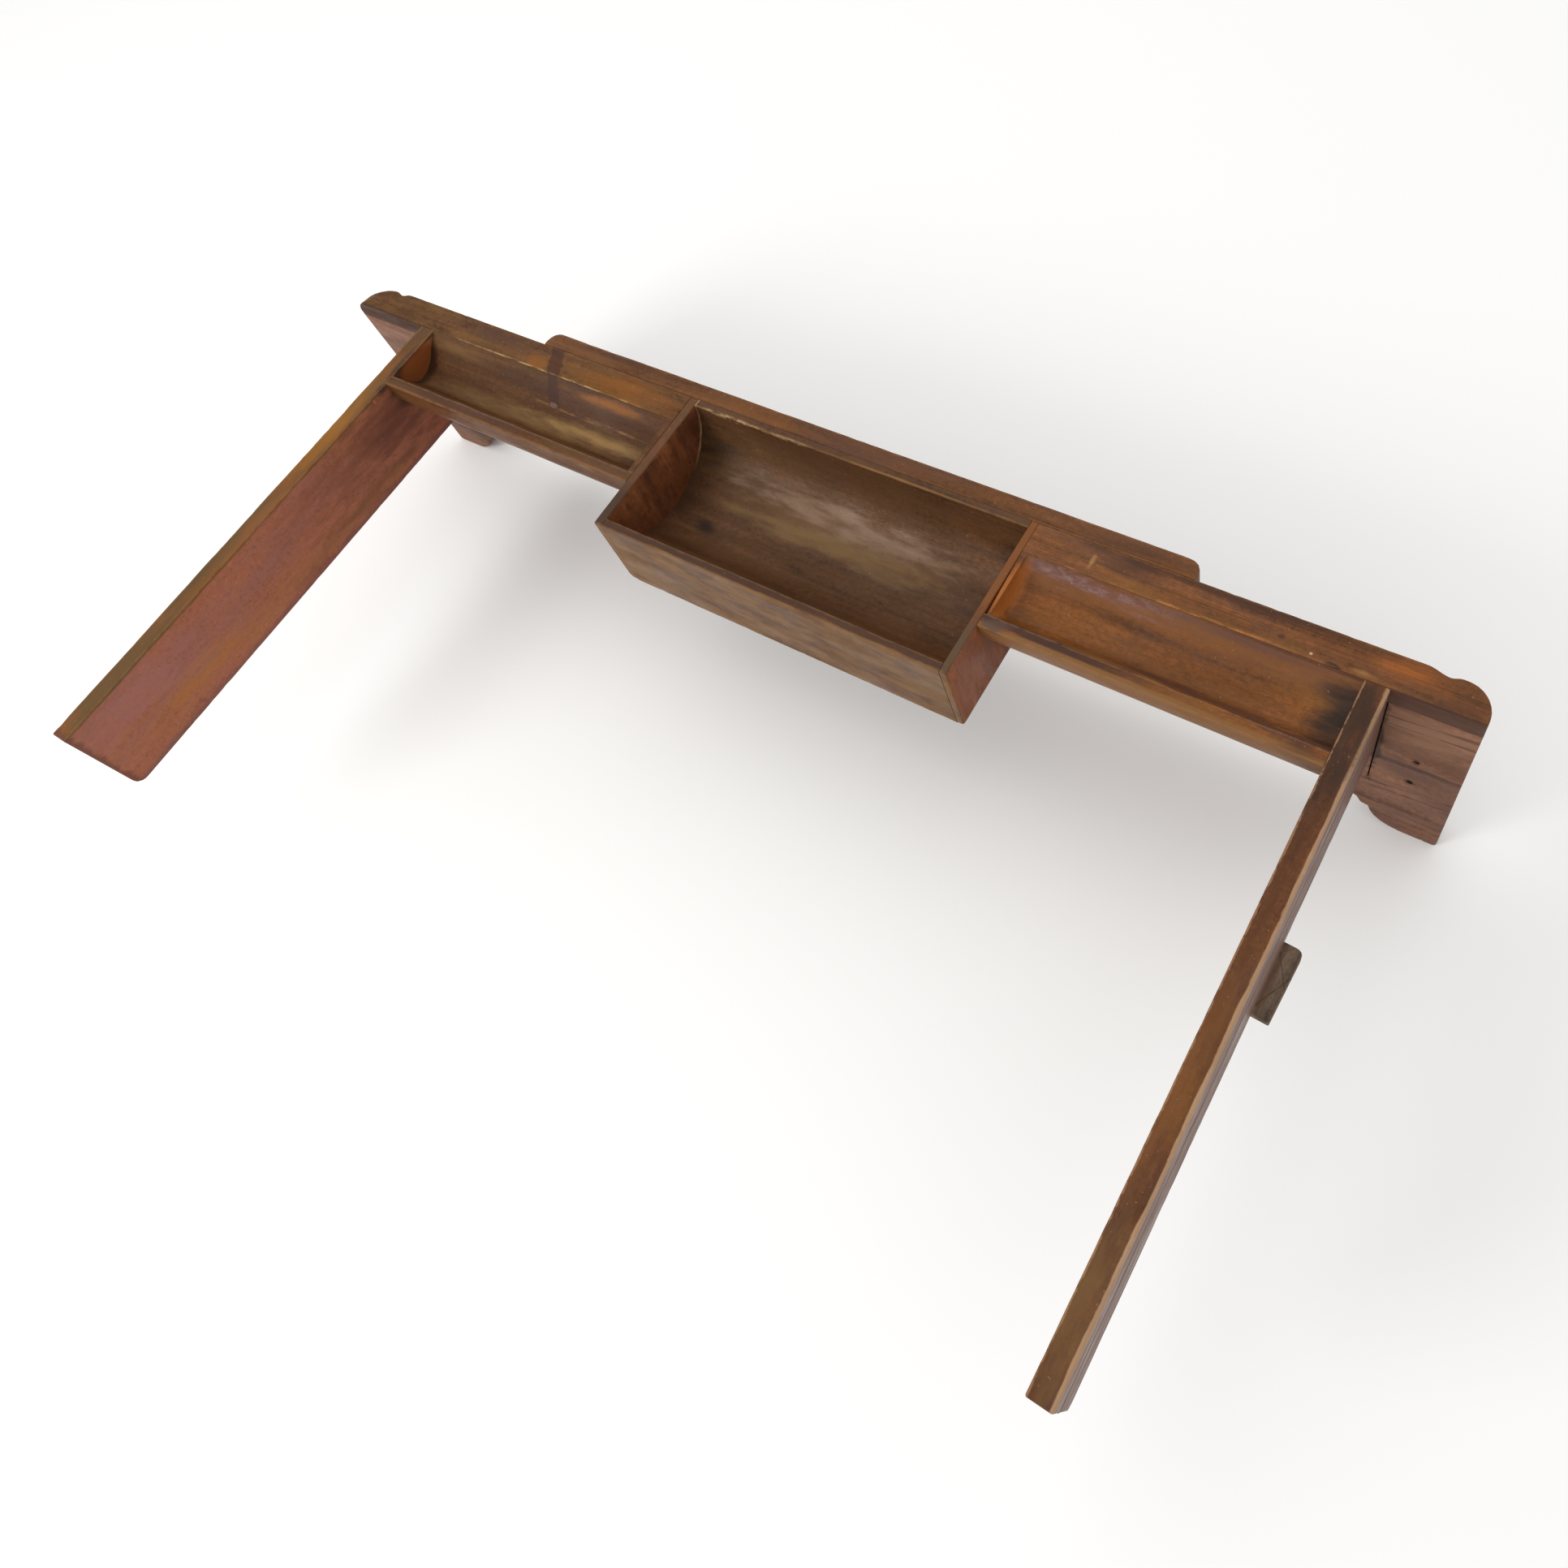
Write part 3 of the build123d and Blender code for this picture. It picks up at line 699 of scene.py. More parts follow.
def wood(name, grain, base, seed, marks=None, contrast=1.0, blotch=1.0, lines=0.5,
         tint=(0.13, 0.085, 0.035), tint_share=0.45, dusk=(0.070, 0.034, 0.028), worn=(0.27, 0.135, 0.055),
         wear=0.3, rough=0.46, gloss=0.18, bump=0.3, specks=0.35):
    """Old varnished wood: streaks, fibres, pores, blotches, worn edges and specks of dirt.

    grain is the axis that the fibres run along, and base is the middle colour. marks(shader)
    adds the stains, and the painted light and shade, that only this piece has. contrast is for
    the fibres and blotch for the clouds, and wear is how much of an edge shows worn.
    """
    s = Shader(name, grain)
    offset = (seed, seed * 1.7, seed * 2.3)

    # The fibres bend slowly, so the textures across the grain are read at a bent place.
    bend = s.noise(s.stretch(along(grain, 4, 16), offset), detail=2.0, roughness=0.5, output="Color")
    bent = s.new("ShaderNodeVectorMath", operation="MULTIPLY_ADD")
    s.feed(bent.inputs[0], bend)
    bent.inputs[1].default_value = along(grain, 0.0, 0.012)
    s.feed(bent.inputs[2], s.place)
    fibre_place = bent.outputs[0]

    medium = s.noise(s.stretch(along(grain, 3.0, 170), offset, fibre_place), roughness=0.6)
    fine = s.noise(s.stretch(along(grain, 9.0, 900), offset, fibre_place), roughness=0.65)
    cloud = s.noise(s.stretch(along(grain, 14, 38), offset), detail=6.0, roughness=0.62, distortion=0.5)
    broad = s.noise(s.stretch(along(grain, 2.2, 8), offset), detail=2.0)
    mottle = s.noise(s.stretch((260, 260, 260), offset), detail=6.0, roughness=0.78)
    tone = s.total(
        s.swing(medium, 0.22, 0.26 * contrast), s.swing(fine, 0.2, 0.10 * contrast),
        s.swing(cloud, 0.2, 0.26 * blotch), s.swing(broad, 0.2, 0.16 * blotch),
        s.swing(mottle, 0.18, 0.20), 0.5, clamp=True,
    )
    s.colour = s.mix(s.ramp(tone, 0.0, 0.5), scaled(base, 0.50), base)
    s.lay_paint(s.ramp(tone, 0.5, 1.0), scaled(base, 1.55))

    for turn, paint in ((5.0, tint), (11.0, dusk)):
        place = s.stretch(along(grain, 7, 34), (offset[0] + turn, offset[1], offset[2]))
        s.lay_paint(s.ramp(s.noise(place, detail=5.0, roughness=0.65), 0.48, 0.66), paint, tint_share)
    late_offset = (offset[2], offset[0], offset[1])
    late = s.noise(s.stretch(along(grain, 1.6, 260), late_offset, fibre_place), detail=2.0)
    s.lay_paint(s.ramp(late, 0.60, 0.72), scaled(base, 0.34), lines)
    pores = s.noise(s.stretch(along(grain, 150, 2400), offset), detail=2.0, roughness=0.5)
    pore = s.ramp(pores, 0.60, 0.72, 0.0, 0.5)
    s.lay_paint(pore, scaled(base, 0.32))

    if marks:
        marks(s)

    s.lay_paint(s.ramp(s.noise(s.stretch((520, 520, 520), offset), detail=1.0), 0.74, 0.79), SPECK, specks)
    s.lay_paint(s.ramp(s.noise(s.stretch((330, 330, 330), offset), detail=3.0), 0.66, 0.76), DIRT, specks)

    edge = s.new("ShaderNodeAttribute", attribute_name="edge").outputs["Fac"]
    ragged = s.noise(s.stretch((95, 95, 95), offset), detail=6.0, roughness=0.72)
    reach = s.math("ADD", edge, s.ramp(ragged, 0.3, 0.7, -0.42, 0.30))
    bare = s.ramp(reach, 0.62, 0.95, 0.0, wear)
    s.lay_paint(bare, worn)

    sheen = s.noise(s.stretch(along(grain, 18, 70), offset), detail=5.0, roughness=0.65)
    gloss_loss = s.ramp(sheen, 0.3, 0.7, rough - 0.12, rough + 0.16)
    roughness = s.total(gloss_loss, s.both(pore, 0.3), s.both(bare, 0.2), clamp=True)
    height = s.total(s.both(fine, 0.35), s.both(medium, 0.6), s.both(pore, -0.5), s.both(mottle, 0.5))
    return s.surface(roughness, gloss, normal=s.bump(height, bump, 0.0007))


def iron(name):
    """Dark old iron with brown rust."""
    s = Shader(name)
    rust = s.noise(s.stretch((900, 900, 900)))
    s.colour = s.mix(s.ramp(rust, 0.4, 0.65), (0.03, 0.027, 0.025), (0.10, 0.045, 0.022))
    roughness = s.ramp(rust, 0.3, 0.7, 0.45, 0.75)
    return s.surface(roughness, metallic=0.6, normal=s.bump(rust, 0.4, 0.0002))


def clothe(node, material):
    """Gives a CAD node one material in all its slots."""
    mesh = nodes[node].data
    if not mesh.materials:
        mesh.materials.append(material)
    for i in range(len(mesh.materials)):
        mesh.materials[i] = material

# Stains, and painted light and shade, that only one piece has ---------------

# Each function paints on one piece's shader. Places are in millimetres in the frame.

OLIVE, ORANGE = (0.135, 0.085, 0.030), (0.235, 0.080, 0.014)
# Dark paints for soot and for clotted stain. Both also lay painted shade.
SOOT_AND_SHADE, CLOTTED_AND_SHADE = (0.020, 0.011, 0.008), (0.052, 0.021, 0.015)
HOLE_X, HOLE_HEIGHTS = 449, (111, 81)


def left_cap_marks(s):
    s.spot((-264, 196, TOP), (13, 9, 4), ORANGE, 0.5, soft=0.6)
    s.lay_paint(s.band((-246, 199, TOP), (1, 0.55, 0), 6.0), CLOTTED_AND_SHADE, 0.7)
    s.spot((-175, 200, TOP), (65, 16, 6), (0.215, 0.075, 0.012), 0.7)
    s.spot((-330, 196, TOP), (50, 9, 6), (0.18, 0.085, 0.022), 0.5)
    end = s.blob((-435, 202, 184), (62, 26, 16), wobble=0.5)
    s.lay_paint(end, (0.062, 0.024, 0.008), 0.85)
    s.lay_paint(s.flecked(end, (120, 160, 160)), (0.15, 0.070, 0.026), 0.5)
    # Worn front edge with painted glints: a broken golden line of painted highlight along the cap's front edge.
    front = s.blob((-245, 190.5, TOP), (150, 2.0, 3), soft=0.9)
    s.lay_paint(s.flecked(front, (60, 300, 300)), (0.55, 0.33, 0.13), 0.75)
    # Painted shade: the cap's front face at its left end is darkened as a face in shadow.
    outside = s.past(X, -378, -388)
    face = s.band((0, 190.2, 180), (0, 1, 0), 1.0, soft=0.8, wobble=0.3)
    s.lay_paint(s.both(face, outside), (0.050, 0.020, 0.012), 0.8)


def right_cap_marks(s):
    s.spot((226, 201, TOP), (2.0, 8.5, 3), (0.36, 0.19, 0.06), 0.7, wobble=0.5)
    s.spot((258, 204, TOP), (34, 8, 4), (0.065, 0.026, 0.012), 0.55, wobble=0.6)
    s.spot((354, 198, TOP), (3, 2.2, 3), (0.06, 0.018, 0.009), 0.7, soft=0.6)
    s.spot((374, 194, TOP), (1.6, 1.4, 3), (0.52, 0.36, 0.22), 0.9, soft=0.6)
    s.spot((388, 191, TOP), (7, 3, 6), SOOT_AND_SHADE, 0.85, soft=0.6)
    s.spot((405, 194, TOP), (10, 2.6, 4), (0.34, 0.17, 0.05), 0.5, soft=0.9)
    glow = s.blob((430, 205, TOP), (34, 11, 6))
    s.lay_paint(glow, (0.225, 0.066, 0.011), 0.6)
    s.lay_paint(s.flecked(glow, (18, 330, 330)), (0.34, 0.100, 0.018), 0.5)
    s.spot((466, 200, 186), (15, 16, 8), (0.090, 0.032, 0.012), 0.6)
    s.spot((310, 212, TOP), (140, 5.5, 5), (0.045, 0.018, 0.010), 0.8, soft=0.8)
    # Painted highlight: a narrow, broken orange line of light along the cap's front edge above the right
    # trough.
    edge = s.blob((300, 191, TOP), (120, 1.8, 3), soft=0.9)
    s.lay_paint(s.flecked(edge, (50, 300, 300)), (0.42, 0.16, 0.035), 0.8)
    # Painted shade: the cap's front face beyond the right arm is darkened as a face in shadow.
    outside = s.past(X, 420, 424)
    face = s.band((0, 190.2, 178), (0, 1, 0), 1.0, soft=0.8, wobble=0.3)
    s.lay_paint(s.both(face, outside), CLOTTED_AND_SHADE, 0.75)


def cleat_marks(s):
    s.spot((-190, 225, TOP), (80, 4, 6), (0.050, 0.022, 0.014), 0.5, soft=0.9)
    s.spot((-222, 218, TOP), (40, 5, 6), (0.17, 0.080, 0.026), 0.5)
    s.spot((-60, 219, TOP), (90, 5, 6), (0.17, 0.062, 0.014), 0.5, soft=0.9)
    s.spot((240, 222, TOP), (60, 7, 6), (0.055, 0.024, 0.014), 0.5, soft=0.9)


def tray_front(s):
    """The tray's front: lighter and duller than the inside, with dusky clouds."""
    front = s.band((0, 89, 150), (0, 1, 0), 1.6, soft=1.2, wobble=0.3)
    clouds = s.noise(s.stretch((30, 30, 60), (4, 2, 9)), detail=7.0, roughness=0.75)
    paint = s.mix(s.ramp(clouds, 0.40, 0.66), (0.172, 0.084, 0.026), (0.098, 0.044, 0.020))
    s.lay_paint(front, paint, 0.93)


def tray_marks(s):
    s.spot((0, 118, 145), (230, 20, 20), (0.068, 0.025, 0.008), 0.65)
    s.spot((180, 160, 140), (44, 50, 44), (0.050, 0.021, 0.008), 0.7)
    # Painted sheen: bands of reflected light along the back of the scoop, a golden band under a grey-violet
    # one, a brown-grey band between them, and paler flecks in the top one.
    s.spot((30, 172, 143), (150, 24, 18), (0.165, 0.092, 0.046), 0.8, wobble=0.2)
    s.spot((28, 165, 138), (138, 12, 12), (0.200, 0.116, 0.044), 0.75, wobble=0.3)
    sheen = s.blob((32, 181, 150), (140, 13, 15), wobble=0.35)
    s.lay_paint(sheen, (0.240, 0.150, 0.098), 0.85)
    s.lay_paint(s.flecked(sheen, (45, 200, 200)), (0.30, 0.20, 0.155), 0.25)
    s.spot((-112, 160, 142), (42, 46, 36), (0.042, 0.019, 0.010), 0.8)
    s.spot((-104, 194, 162), (44, 17, 28), (0.016, 0.008, 0.007), 0.7)
    # Painted shade: the scoop's upper back wall, under the back rim, is darkened.
    s.spot((30, 207, 178), (190, 8, 20), (0.085, 0.038, 0.018), 0.55, soft=0.8)
    s.spot((-75, 143, 137), (13, 8, 8), (0.014, 0.009, 0.008), 0.8, soft=0.9)
    joint = s.band((left_end_hi[X] + 0.8, 160, 160), (1, 0, 0), 1.0, soft=0.9, wobble=0.5)
    upper = s.both(s.past(Y, 150, 170), s.past(Z, 142, 156))
    s.lay_paint(s.both(joint, upper), (0.34, 0.19, 0.085), 0.7)
    # The worn back rim, with painted glints: a broken pale line of highlight along it.
    rim = s.blob((-60, 208.6, 187), (66, 2.4, 3), soft=0.9)
    s.lay_paint(s.flecked(rim, (90, 300, 300), 0.44, 0.56), (0.56, 0.36, 0.18), 0.75)
    s.spot((80, 209, TOP), (90, 1.6, 2), (0.30, 0.14, 0.04), 0.5, soft=0.9)
    tray_front(s)
    s.lay_paint(s.band((0, 93.5, TOP), (0, 1, 0), 3.0, soft=2.0, wobble=1.6), (0.050, 0.022, 0.014), 0.8)


def end_edges(s, paint, front_paint):
    """The end boards' front edges are as dull as the tray's front. Gives the mask of the top."""
    tray_front(s)
    top = s.past(Z, TOP - 1.4, TOP - 0.4)
    s.lay_paint(top, paint, 0.8)
    s.lay_paint(s.both(top, s.past(Y, 140, 115)), front_paint, 0.8)
    return top


def left_end_marks(s):
    inside = s.blob((-120, 150, 165), (12, 80, 50), soft=0.3)
    s.lay_paint(s.flecked(inside, (110, 110, 90), 0.42, 0.58), (0.040, 0.015, 0.009), 0.5)
    s.spot((-112, 192, 178), (14, 26, 20), (0.060, 0.020, 0.011), 0.7)
    end_edges(s, (0.100, 0.044, 0.017), (0.044, 0.024, 0.016))


def right_end_marks(s):
    s.spot((168, 150, 128), (16, 60, 14), (0.10, 0.034, 0.020), 0.5)
    top = end_edges(s, (0.075, 0.034, 0.015), (0.090, 0.055, 0.028))
    s.lay_paint(s.both(top, s.past(Y, 128, 150, wobble=4)), (0.190, 0.064, 0.014), 0.8)


def left_trough_marks(s):
    # Painted sheen: a golden band of reflected light along the gutter, brighter to the right.
    s.spot((-260, 157, 166), (165, 11, 8), (0.195, 0.105, 0.034), 0.8)
    s.spot((-196, 163, 166), (96, 8.5, 8), (0.355, 0.210, 0.078), 0.9, wobble=0.22)
    s.spot((-345, 184, 183), (40, 8, 8), (0.17, 0.080, 0.024), 0.7)
    s.spot((-275, 180, 179), (48, 9, 9), (0.062, 0.026, 0.012), 0.7)
    s.spot((-182, 185, 184), (56, 5, 7), (0.27, 0.100, 0.022), 0.8)
    s.spot((-152, 178, 177), (40, 7, 7), (0.070, 0.025, 0.010), 0.8)
    # Painted glints: a broken bright line of highlight along the hollow's crease.
    crease = s.blob((-205, 172.5, 172), (85, 1.6, 2.6), soft=0.9)
    s.lay_paint(s.flecked(crease, (50, 260, 260)), (0.42, 0.20, 0.07), 0.6)
    stripe = s.band((-238, 181, 180), (1, 0.3, 0.1), 5.5)
    s.lay_paint(s.both(stripe, s.past(Y, 171, 174)), CLOTTED_AND_SHADE, 0.75)
    s.spot((-236, 173.5, 173), (5, 2.5, 4), (0.20, 0.12, 0.10), 0.6, soft=0.6)
    s.spot((-159, 130, 184), (12, 3, 3), (0.40, 0.22, 0.06), 0.7, soft=0.6)
    s.lay_paint(s.band((0, 129.5, 175), (0, 1, 0), 1.6, soft=1.6), (0.13, 0.050, 0.016), 0.7)
    s.spot((-310, 132, TOP), (90, 5, 4), (0.070, 0.028, 0.016), 0.6)
    # Grime with painted contact shade: a dark band in the hollow next to the left arm.
    s.spot((-375, 168, 172), (9, 30, 24), SOOT_AND_SHADE, 0.75, soft=0.7)


def right_trough_marks(s):
    # Painted light: the hollow's back wall is lightened to the floor's tone, against the shade that falls in
    # it.
    back_wall = s.both(s.past(Y, 172, 181), s.past(Z, TOP - 0.2, TOP - 1.5))
    s.lay_paint(back_wall, (0.19, 0.072, 0.022), 0.6)
    # Painted sheen, scuffed: a purple-grey band of reflected light on the back wall's left half, broken up by
    # mottled scuffs.
    scuffed_sheen = s.blob((228, 186, 183), (80, 8, 8), wobble=0.4)
    s.lay_paint(scuffed_sheen, (0.130, 0.062, 0.056), 0.85)
    s.lay_paint(s.flecked(scuffed_sheen, (120, 260, 260)), (0.29, 0.165, 0.160), 0.7)
    s.spot((335, 187, 186), (90, 4, 5), (0.105, 0.044, 0.034), 0.75)
    s.spot((186, 186, 184), (16, 6, 6), (0.10, 0.048, 0.042), 0.8, soft=0.9)
    s.spot((290, 152, 172), (90, 10, 8), (0.185, 0.064, 0.014), 0.6)
    for x, y in ((246, 166), (300, 160), (352, 170)):
        s.spot((x, y, 173), (16, 2.2, 4), (0.050, 0.018, 0.010), 0.55, wobble=0.6)
    wide_rim = s.band((380, 141, 186), (0.03, 1, 0), 3.4, soft=3.6, wobble=2.4)
    s.lay_paint(s.both(wide_rim, s.past(X, 230, 300)), (0.066, 0.028, 0.020), 0.75)
    rim = s.band((0, 136, TOP), (0, 1, 0), 3.4, soft=3.0, wobble=2.0)
    s.lay_paint(s.both(rim, s.past(X, 320, 250)), (0.040, 0.016, 0.012), 0.85)
    front = s.band((0, 130, 180), (0, 1, 0), 2.6, soft=1.6, wobble=0.8)
    s.lay_paint(front, (0.195, 0.088, 0.028), 0.85)
    s.spot((398, 131, 184), (26, 9, 9), (0.060, 0.026, 0.013), 0.7)
    s.spot((404, 165, 179), (23, 42, 20), (0.017, 0.009, 0.006), 0.92, soft=0.9, wobble=0.25)
    s.spot((187, 164, 184), (9, 30, 14), (0.34, 0.105, 0.020), 0.85, soft=0.5, wobble=0.15)
    s.spot((192, 133, TOP), (14, 7, 4), (0.085, 0.048, 0.033), 0.8, soft=0.6)


def left_arm_marks(s):
    s.spot((-377, 80, 160), (4, 130, 44), (0.165, 0.052, 0.026), 0.65, wobble=0.3)
    s.spot((-377, 60, 124), (4, 150, 12), (0.16, 0.056, 0.026), 0.6, wobble=0.4)
    s.spot((-377, -140, 136), (4, 60, 14), (0.34, 0.125, 0.022), 0.6, wobble=0.5)
    s.spot((-377, -170, 164), (4, 90, 30), (0.30, 0.112, 0.095), 0.7, wobble=0.4)
    s.lay_paint(s.band((-377, 0, 110), (0, 0, 1), 5.0, soft=8.0), (0.13, 0.052, 0.060), 0.6)
    face = s.blob((-377, 0, 150), (4, 260, 60), soft=0.2)
    s.lay_paint(s.flecked(face, (330, 330, 330), 0.55, 0.7), (0.36, 0.17, 0.13), 0.35)
    top = s.band((-385, 0, TOP), (0, 0, 1), 2.2, soft=2.0, wobble=0.8)
    clouds = s.noise(s.stretch((30, 12, 30), (2, 8, 1)), roughness=0.6)
    paint = s.mix(s.ramp(clouds, 0.42, 0.62), (0.092, 0.050, 0.012), (0.165, 0.060, 0.010))
    s.lay_paint(top, paint, 0.9)
    s.spot((-387, 75, TOP), (12, 70, 4), (0.240, 0.094, 0.008), 0.9)
    s.spot((-385, 190, TOP), (16, 50, 4), (0.080, 0.035, 0.010), 0.8)
    s.spot((-390, -60, TOP), (12, 70, 4), (0.085, 0.050, 0.015), 0.8)
    # Painted shade: the inner face darkens towards the trough, in the shade under it.
    s.spot((-377, 112, 160), (6, 60, 46), (0.105, 0.032, 0.018), 0.7)
    # The next two: grime with painted contact shade along the trough's joint on the inner face, round its belly
    # and up its front.
    s.spot((-377, 150.75, 174), (8, 29, 29), (0.045, 0.016, 0.010), 0.75, soft=0.3, wobble=0.05)
    s.spot((-377, 123, 186), (6, 9, 5), (0.035, 0.013, 0.009), 0.85, soft=0.8, wobble=0.15)
    s.spot((-377, 111.5, 184), (4, 1.6, 4), (0.33, 0.12, 0.03), 0.7, soft=0.8)
    s.lay_paint(s.past(Y, -221, -226, wobble=2.5), (0.095, 0.032, 0.020), 0.65)
    s.spot((-377.4, 162, 172), (3, 28, 18), (0.25, 0.070, 0.016), 0.9, soft=0.3, wobble=0.1)


def right_arm_marks(s):
    outer = s.band((423.2, 0, 170), (1, 0, 0), 1.2, soft=0.8, wobble=0.3)
    s.lay_paint(outer, (0.17, 0.092, 0.070), 0.85)
    # Painted sheen: golden patches of reflected light on the front half of the arm's top.
    s.spot((413, -65, TOP), (14, 80, 5), (0.180, 0.066, 0.012), 0.65)
    s.spot((413, -180, TOP), (14, 75, 5), (0.155, 0.078, 0.025), 0.75)
    arris = s.band((422, 0, TOP), (1, 0, 0.7), 1.0, soft=0.8, wobble=0.5)
    s.lay_paint(arris, (0.46, 0.29, 0.17), 0.75)
    s.spot((413, 162, TOP), (16, 72, 5), (0.034, 0.015, 0.008), 0.85, soft=0.9, wobble=0.4)
    crack = s.band((421.5, 0, LINE_Z), (0, 0, 1), 1.0, soft=0.5, wobble=0.1)
    s.lay_paint(s.both(crack, outer), SOOT_AND_SHADE, 0.8)


def rail_marks(s):
    s.spot((446, 190, 152), (44, 4, 38), (0.370, 0.188, 0.106), 0.75)
    s.spot((445, 190, 95), (40, 4, 16), (0.13, 0.062, 0.050), 0.6)
    # Painted shade: the rail's front face is darkened low at its left end.
    s.spot((-420, 190, 30), (50, 6, 40), (0.070, 0.038, 0.026), 0.8)
    lines = ((160, -0.12, 1.0), (150, -0.1, 0.6), (101, -0.08, 2.4), (66, -0.14, 0.9), (58, -0.1, 0.5))
    for z, lean, half in lines:
        line = s.band((450, 190, z), (lean, 0, 1), half, soft=1.0, wobble=1.2)
        s.lay_paint(line, (0.055, 0.026, 0.020), 0.6)
    for z in HOLE_HEIGHTS:
        for x in (-HOLE_X, HOLE_X):
            s.spot((x, 190, z), (5, 4, 5), SOOT_AND_SHADE, 0.8, soft=0.8)
    s.spot((444, 190, 8), (36, 4, 14), (0.10, 0.040, 0.030), 0.6)
    s.spot((424, 190, 120), (4, 3, 60), SOOT_AND_SHADE, 0.7, soft=0.5, wobble=0.4)


def lug_marks(s):
    for lean in (0.55, -0.5):
        scratch = s.band((432, 26, 110), (1, lean, 0), 0.35, soft=0.4, wobble=0.2)
        s.lay_paint(scratch, SOOT_AND_SHADE, 0.6)
    # Painted shade: a darker strip along the lug next to the arm.
    s.spot((425, 26, 110), (3, 30, 4), (0.14, 0.055, 0.035), 0.6, soft=0.6)


# Boards ---------------------------------------------------

rail_wood = wood("rail_wood", X, (0.190, 0.088, 0.052), 1.3, rail_marks, contrast=0.65, lines=0.35,
                 tint=(0.22, 0.115, 0.07), dusk=(0.10, 0.052, 0.042), worn=(0.26, 0.15, 0.09), rough=0.6,
                 gloss=0.15, bump=0.4)
left_cap_wood = wood("left_cap_wood", X, (0.122, 0.053, 0.020), 2.1, left_cap_marks,
                     tint=(0.165, 0.085, 0.022), tint_share=0.55, worn=(0.28, 0.15, 0.05), wear=0.2, gloss=0.08)
right_cap_wood = wood("right_cap_wood", X, (0.142, 0.050, 0.014), 3.7, right_cap_marks,
                      tint=(0.21, 0.09, 0.018))
cleat_wood = wood("cleat_wood", X, (0.122, 0.044, 0.011), 4.9, cleat_marks, lines=0.6,
                  tint=(0.16, 0.055, 0.014))
left_arm_wood = wood("left_arm_wood", Y, (0.305, 0.100, 0.052), 5.2, left_arm_marks, contrast=0.2,
                     blotch=0.45, lines=0.0, tint=(0.32, 0.12, 0.035), dusk=(0.24, 0.095, 0.085),
                     worn=(0.26, 0.14, 0.05), rough=0.55)
right_arm_wood = wood("right_arm_wood", Y, (0.084, 0.028, 0.008), 6.4, right_arm_marks, contrast=0.7,
                      tint=(0.12, 0.05, 0.013), worn=(0.34, 0.19, 0.10), wear=0.55)
tray_wood = wood("tray_wood", X, (0.097, 0.042, 0.016), 8.3, tray_marks, contrast=0.6, lines=0.3,
                 tint=(0.105, 0.054, 0.018), worn=(0.22, 0.105, 0.04), rough=0.42, gloss=0.15)
left_end_wood = wood("left_end_wood", Z, (0.165, 0.055, 0.020), 9.1, left_end_marks, contrast=0.45,
                     lines=0.1, tint=(0.17, 0.052, 0.012), dusk=(0.050, 0.019, 0.012), tint_share=0.6)
right_end_wood = wood("right_end_wood", Z, (0.215, 0.064, 0.021), 10.6, right_end_marks, contrast=0.6,
                      lines=0.2, tint=(0.31, 0.090, 0.016), dusk=(0.15, 0.050, 0.030), tint_share=0.6)
left_trough_wood = wood("left_trough_wood", X, (0.080, 0.031, 0.010), 11.8, left_trough_marks,
                        contrast=0.7, lines=0.3, tint=(0.13, 0.07, 0.022), rough=0.40, gloss=0.12)
right_trough_wood = wood("right_trough_wood", X, (0.145, 0.048, 0.009), 12.5, right_trough_marks,
                         contrast=0.7, lines=0.3, tint=(0.20, 0.085, 0.016), rough=0.42, gloss=0.18)
lug_wood = wood("lug_wood", Y, (0.165, 0.116, 0.078), 13.4, lug_marks, worn=(0.24, 0.18, 0.10), rough=0.7,
                tint=OLIVE, tint_share=0.3)
hidden_wood = wood("hidden_wood", Z, (0.20, 0.12, 0.08), 14.2, rough=0.7)

# The rail, with a housing for each arm that stands open a little at its outer side.
CLEAR, HOUSING_LOW, HOUSING_GAP, HOLE_RADIUS, SHARP_STEP = 5, 66, 1.0, 2.0, 0.05
housings = [
    block_cutter((lo[X] - left_gap, RAIL_FRONT - CLEAR, HOUSING_LOW),
                 (hi[X] + right_gap, hi[Y], rail_hi[Z] + CLEAR))
    for lo, hi, left_gap, right_gap in (
        (left_arm_lo, left_arm_hi, HOUSING_GAP, 0), (right_arm_lo, right_arm_hi, 0, HOUSING_GAP)
    )
]
mount_holes = [round_cutter(side * HOLE_X, z, RAIL_FRONT - CLEAR, RAIL_BACK + CLEAR, HOLE_RADIUS)
               for side in (-1, 1) for z in HOLE_HEIGHTS]
arch_steps = (0.5, 1.5, TOE_RADIUS, *(d for d, _ in ARCH))
rail_places = stations(rail_lo[X], rail_hi[X], 6.0, 1.0, 1.0, extra=[
    *end_places(-1, LEFT_END), *end_places(1, RIGHT_END),
    NOTCH_LEFT, NOTCH_LEFT + SHARP_STEP, NOTCH_RIGHT - SHARP_STEP, NOTCH_RIGHT,
    *(side * (rail_hi[X] - d) for side in (-1, 1) for d in arch_steps),
])
add_board("worn_rail", "back_board", rail_wood, X, rail_places, rail_section, (1.0, 1.0),
          seed=1.0, spacing=6.0, cutters=housings + mount_holes)

cap_start = rail_lo[X] + 0.6
left_cap_places = stations(cap_start, NOTCH_LEFT, 4.0, 0.5, 0.4, extra=end_places(-1, LEFT_END)[1:])
left_cap_places = [x for x in left_cap_places if x >= cap_start]
add_board("worn_left_cap", "left_cap", left_cap_wood, X, left_cap_places, cap_section, (0.5, 0.4),
          seed=2.0, spacing=3.0)
right_cap_places = stations(NOTCH_RIGHT, rail_hi[X], 4.0, 0.4, 1.0, extra=end_places(1, RIGHT_END))
add_board("worn_right_cap", "right_cap", right_cap_wood, X, right_cap_places, cap_section,
          (0.4, 1.0), seed=3.0, spacing=3.0)

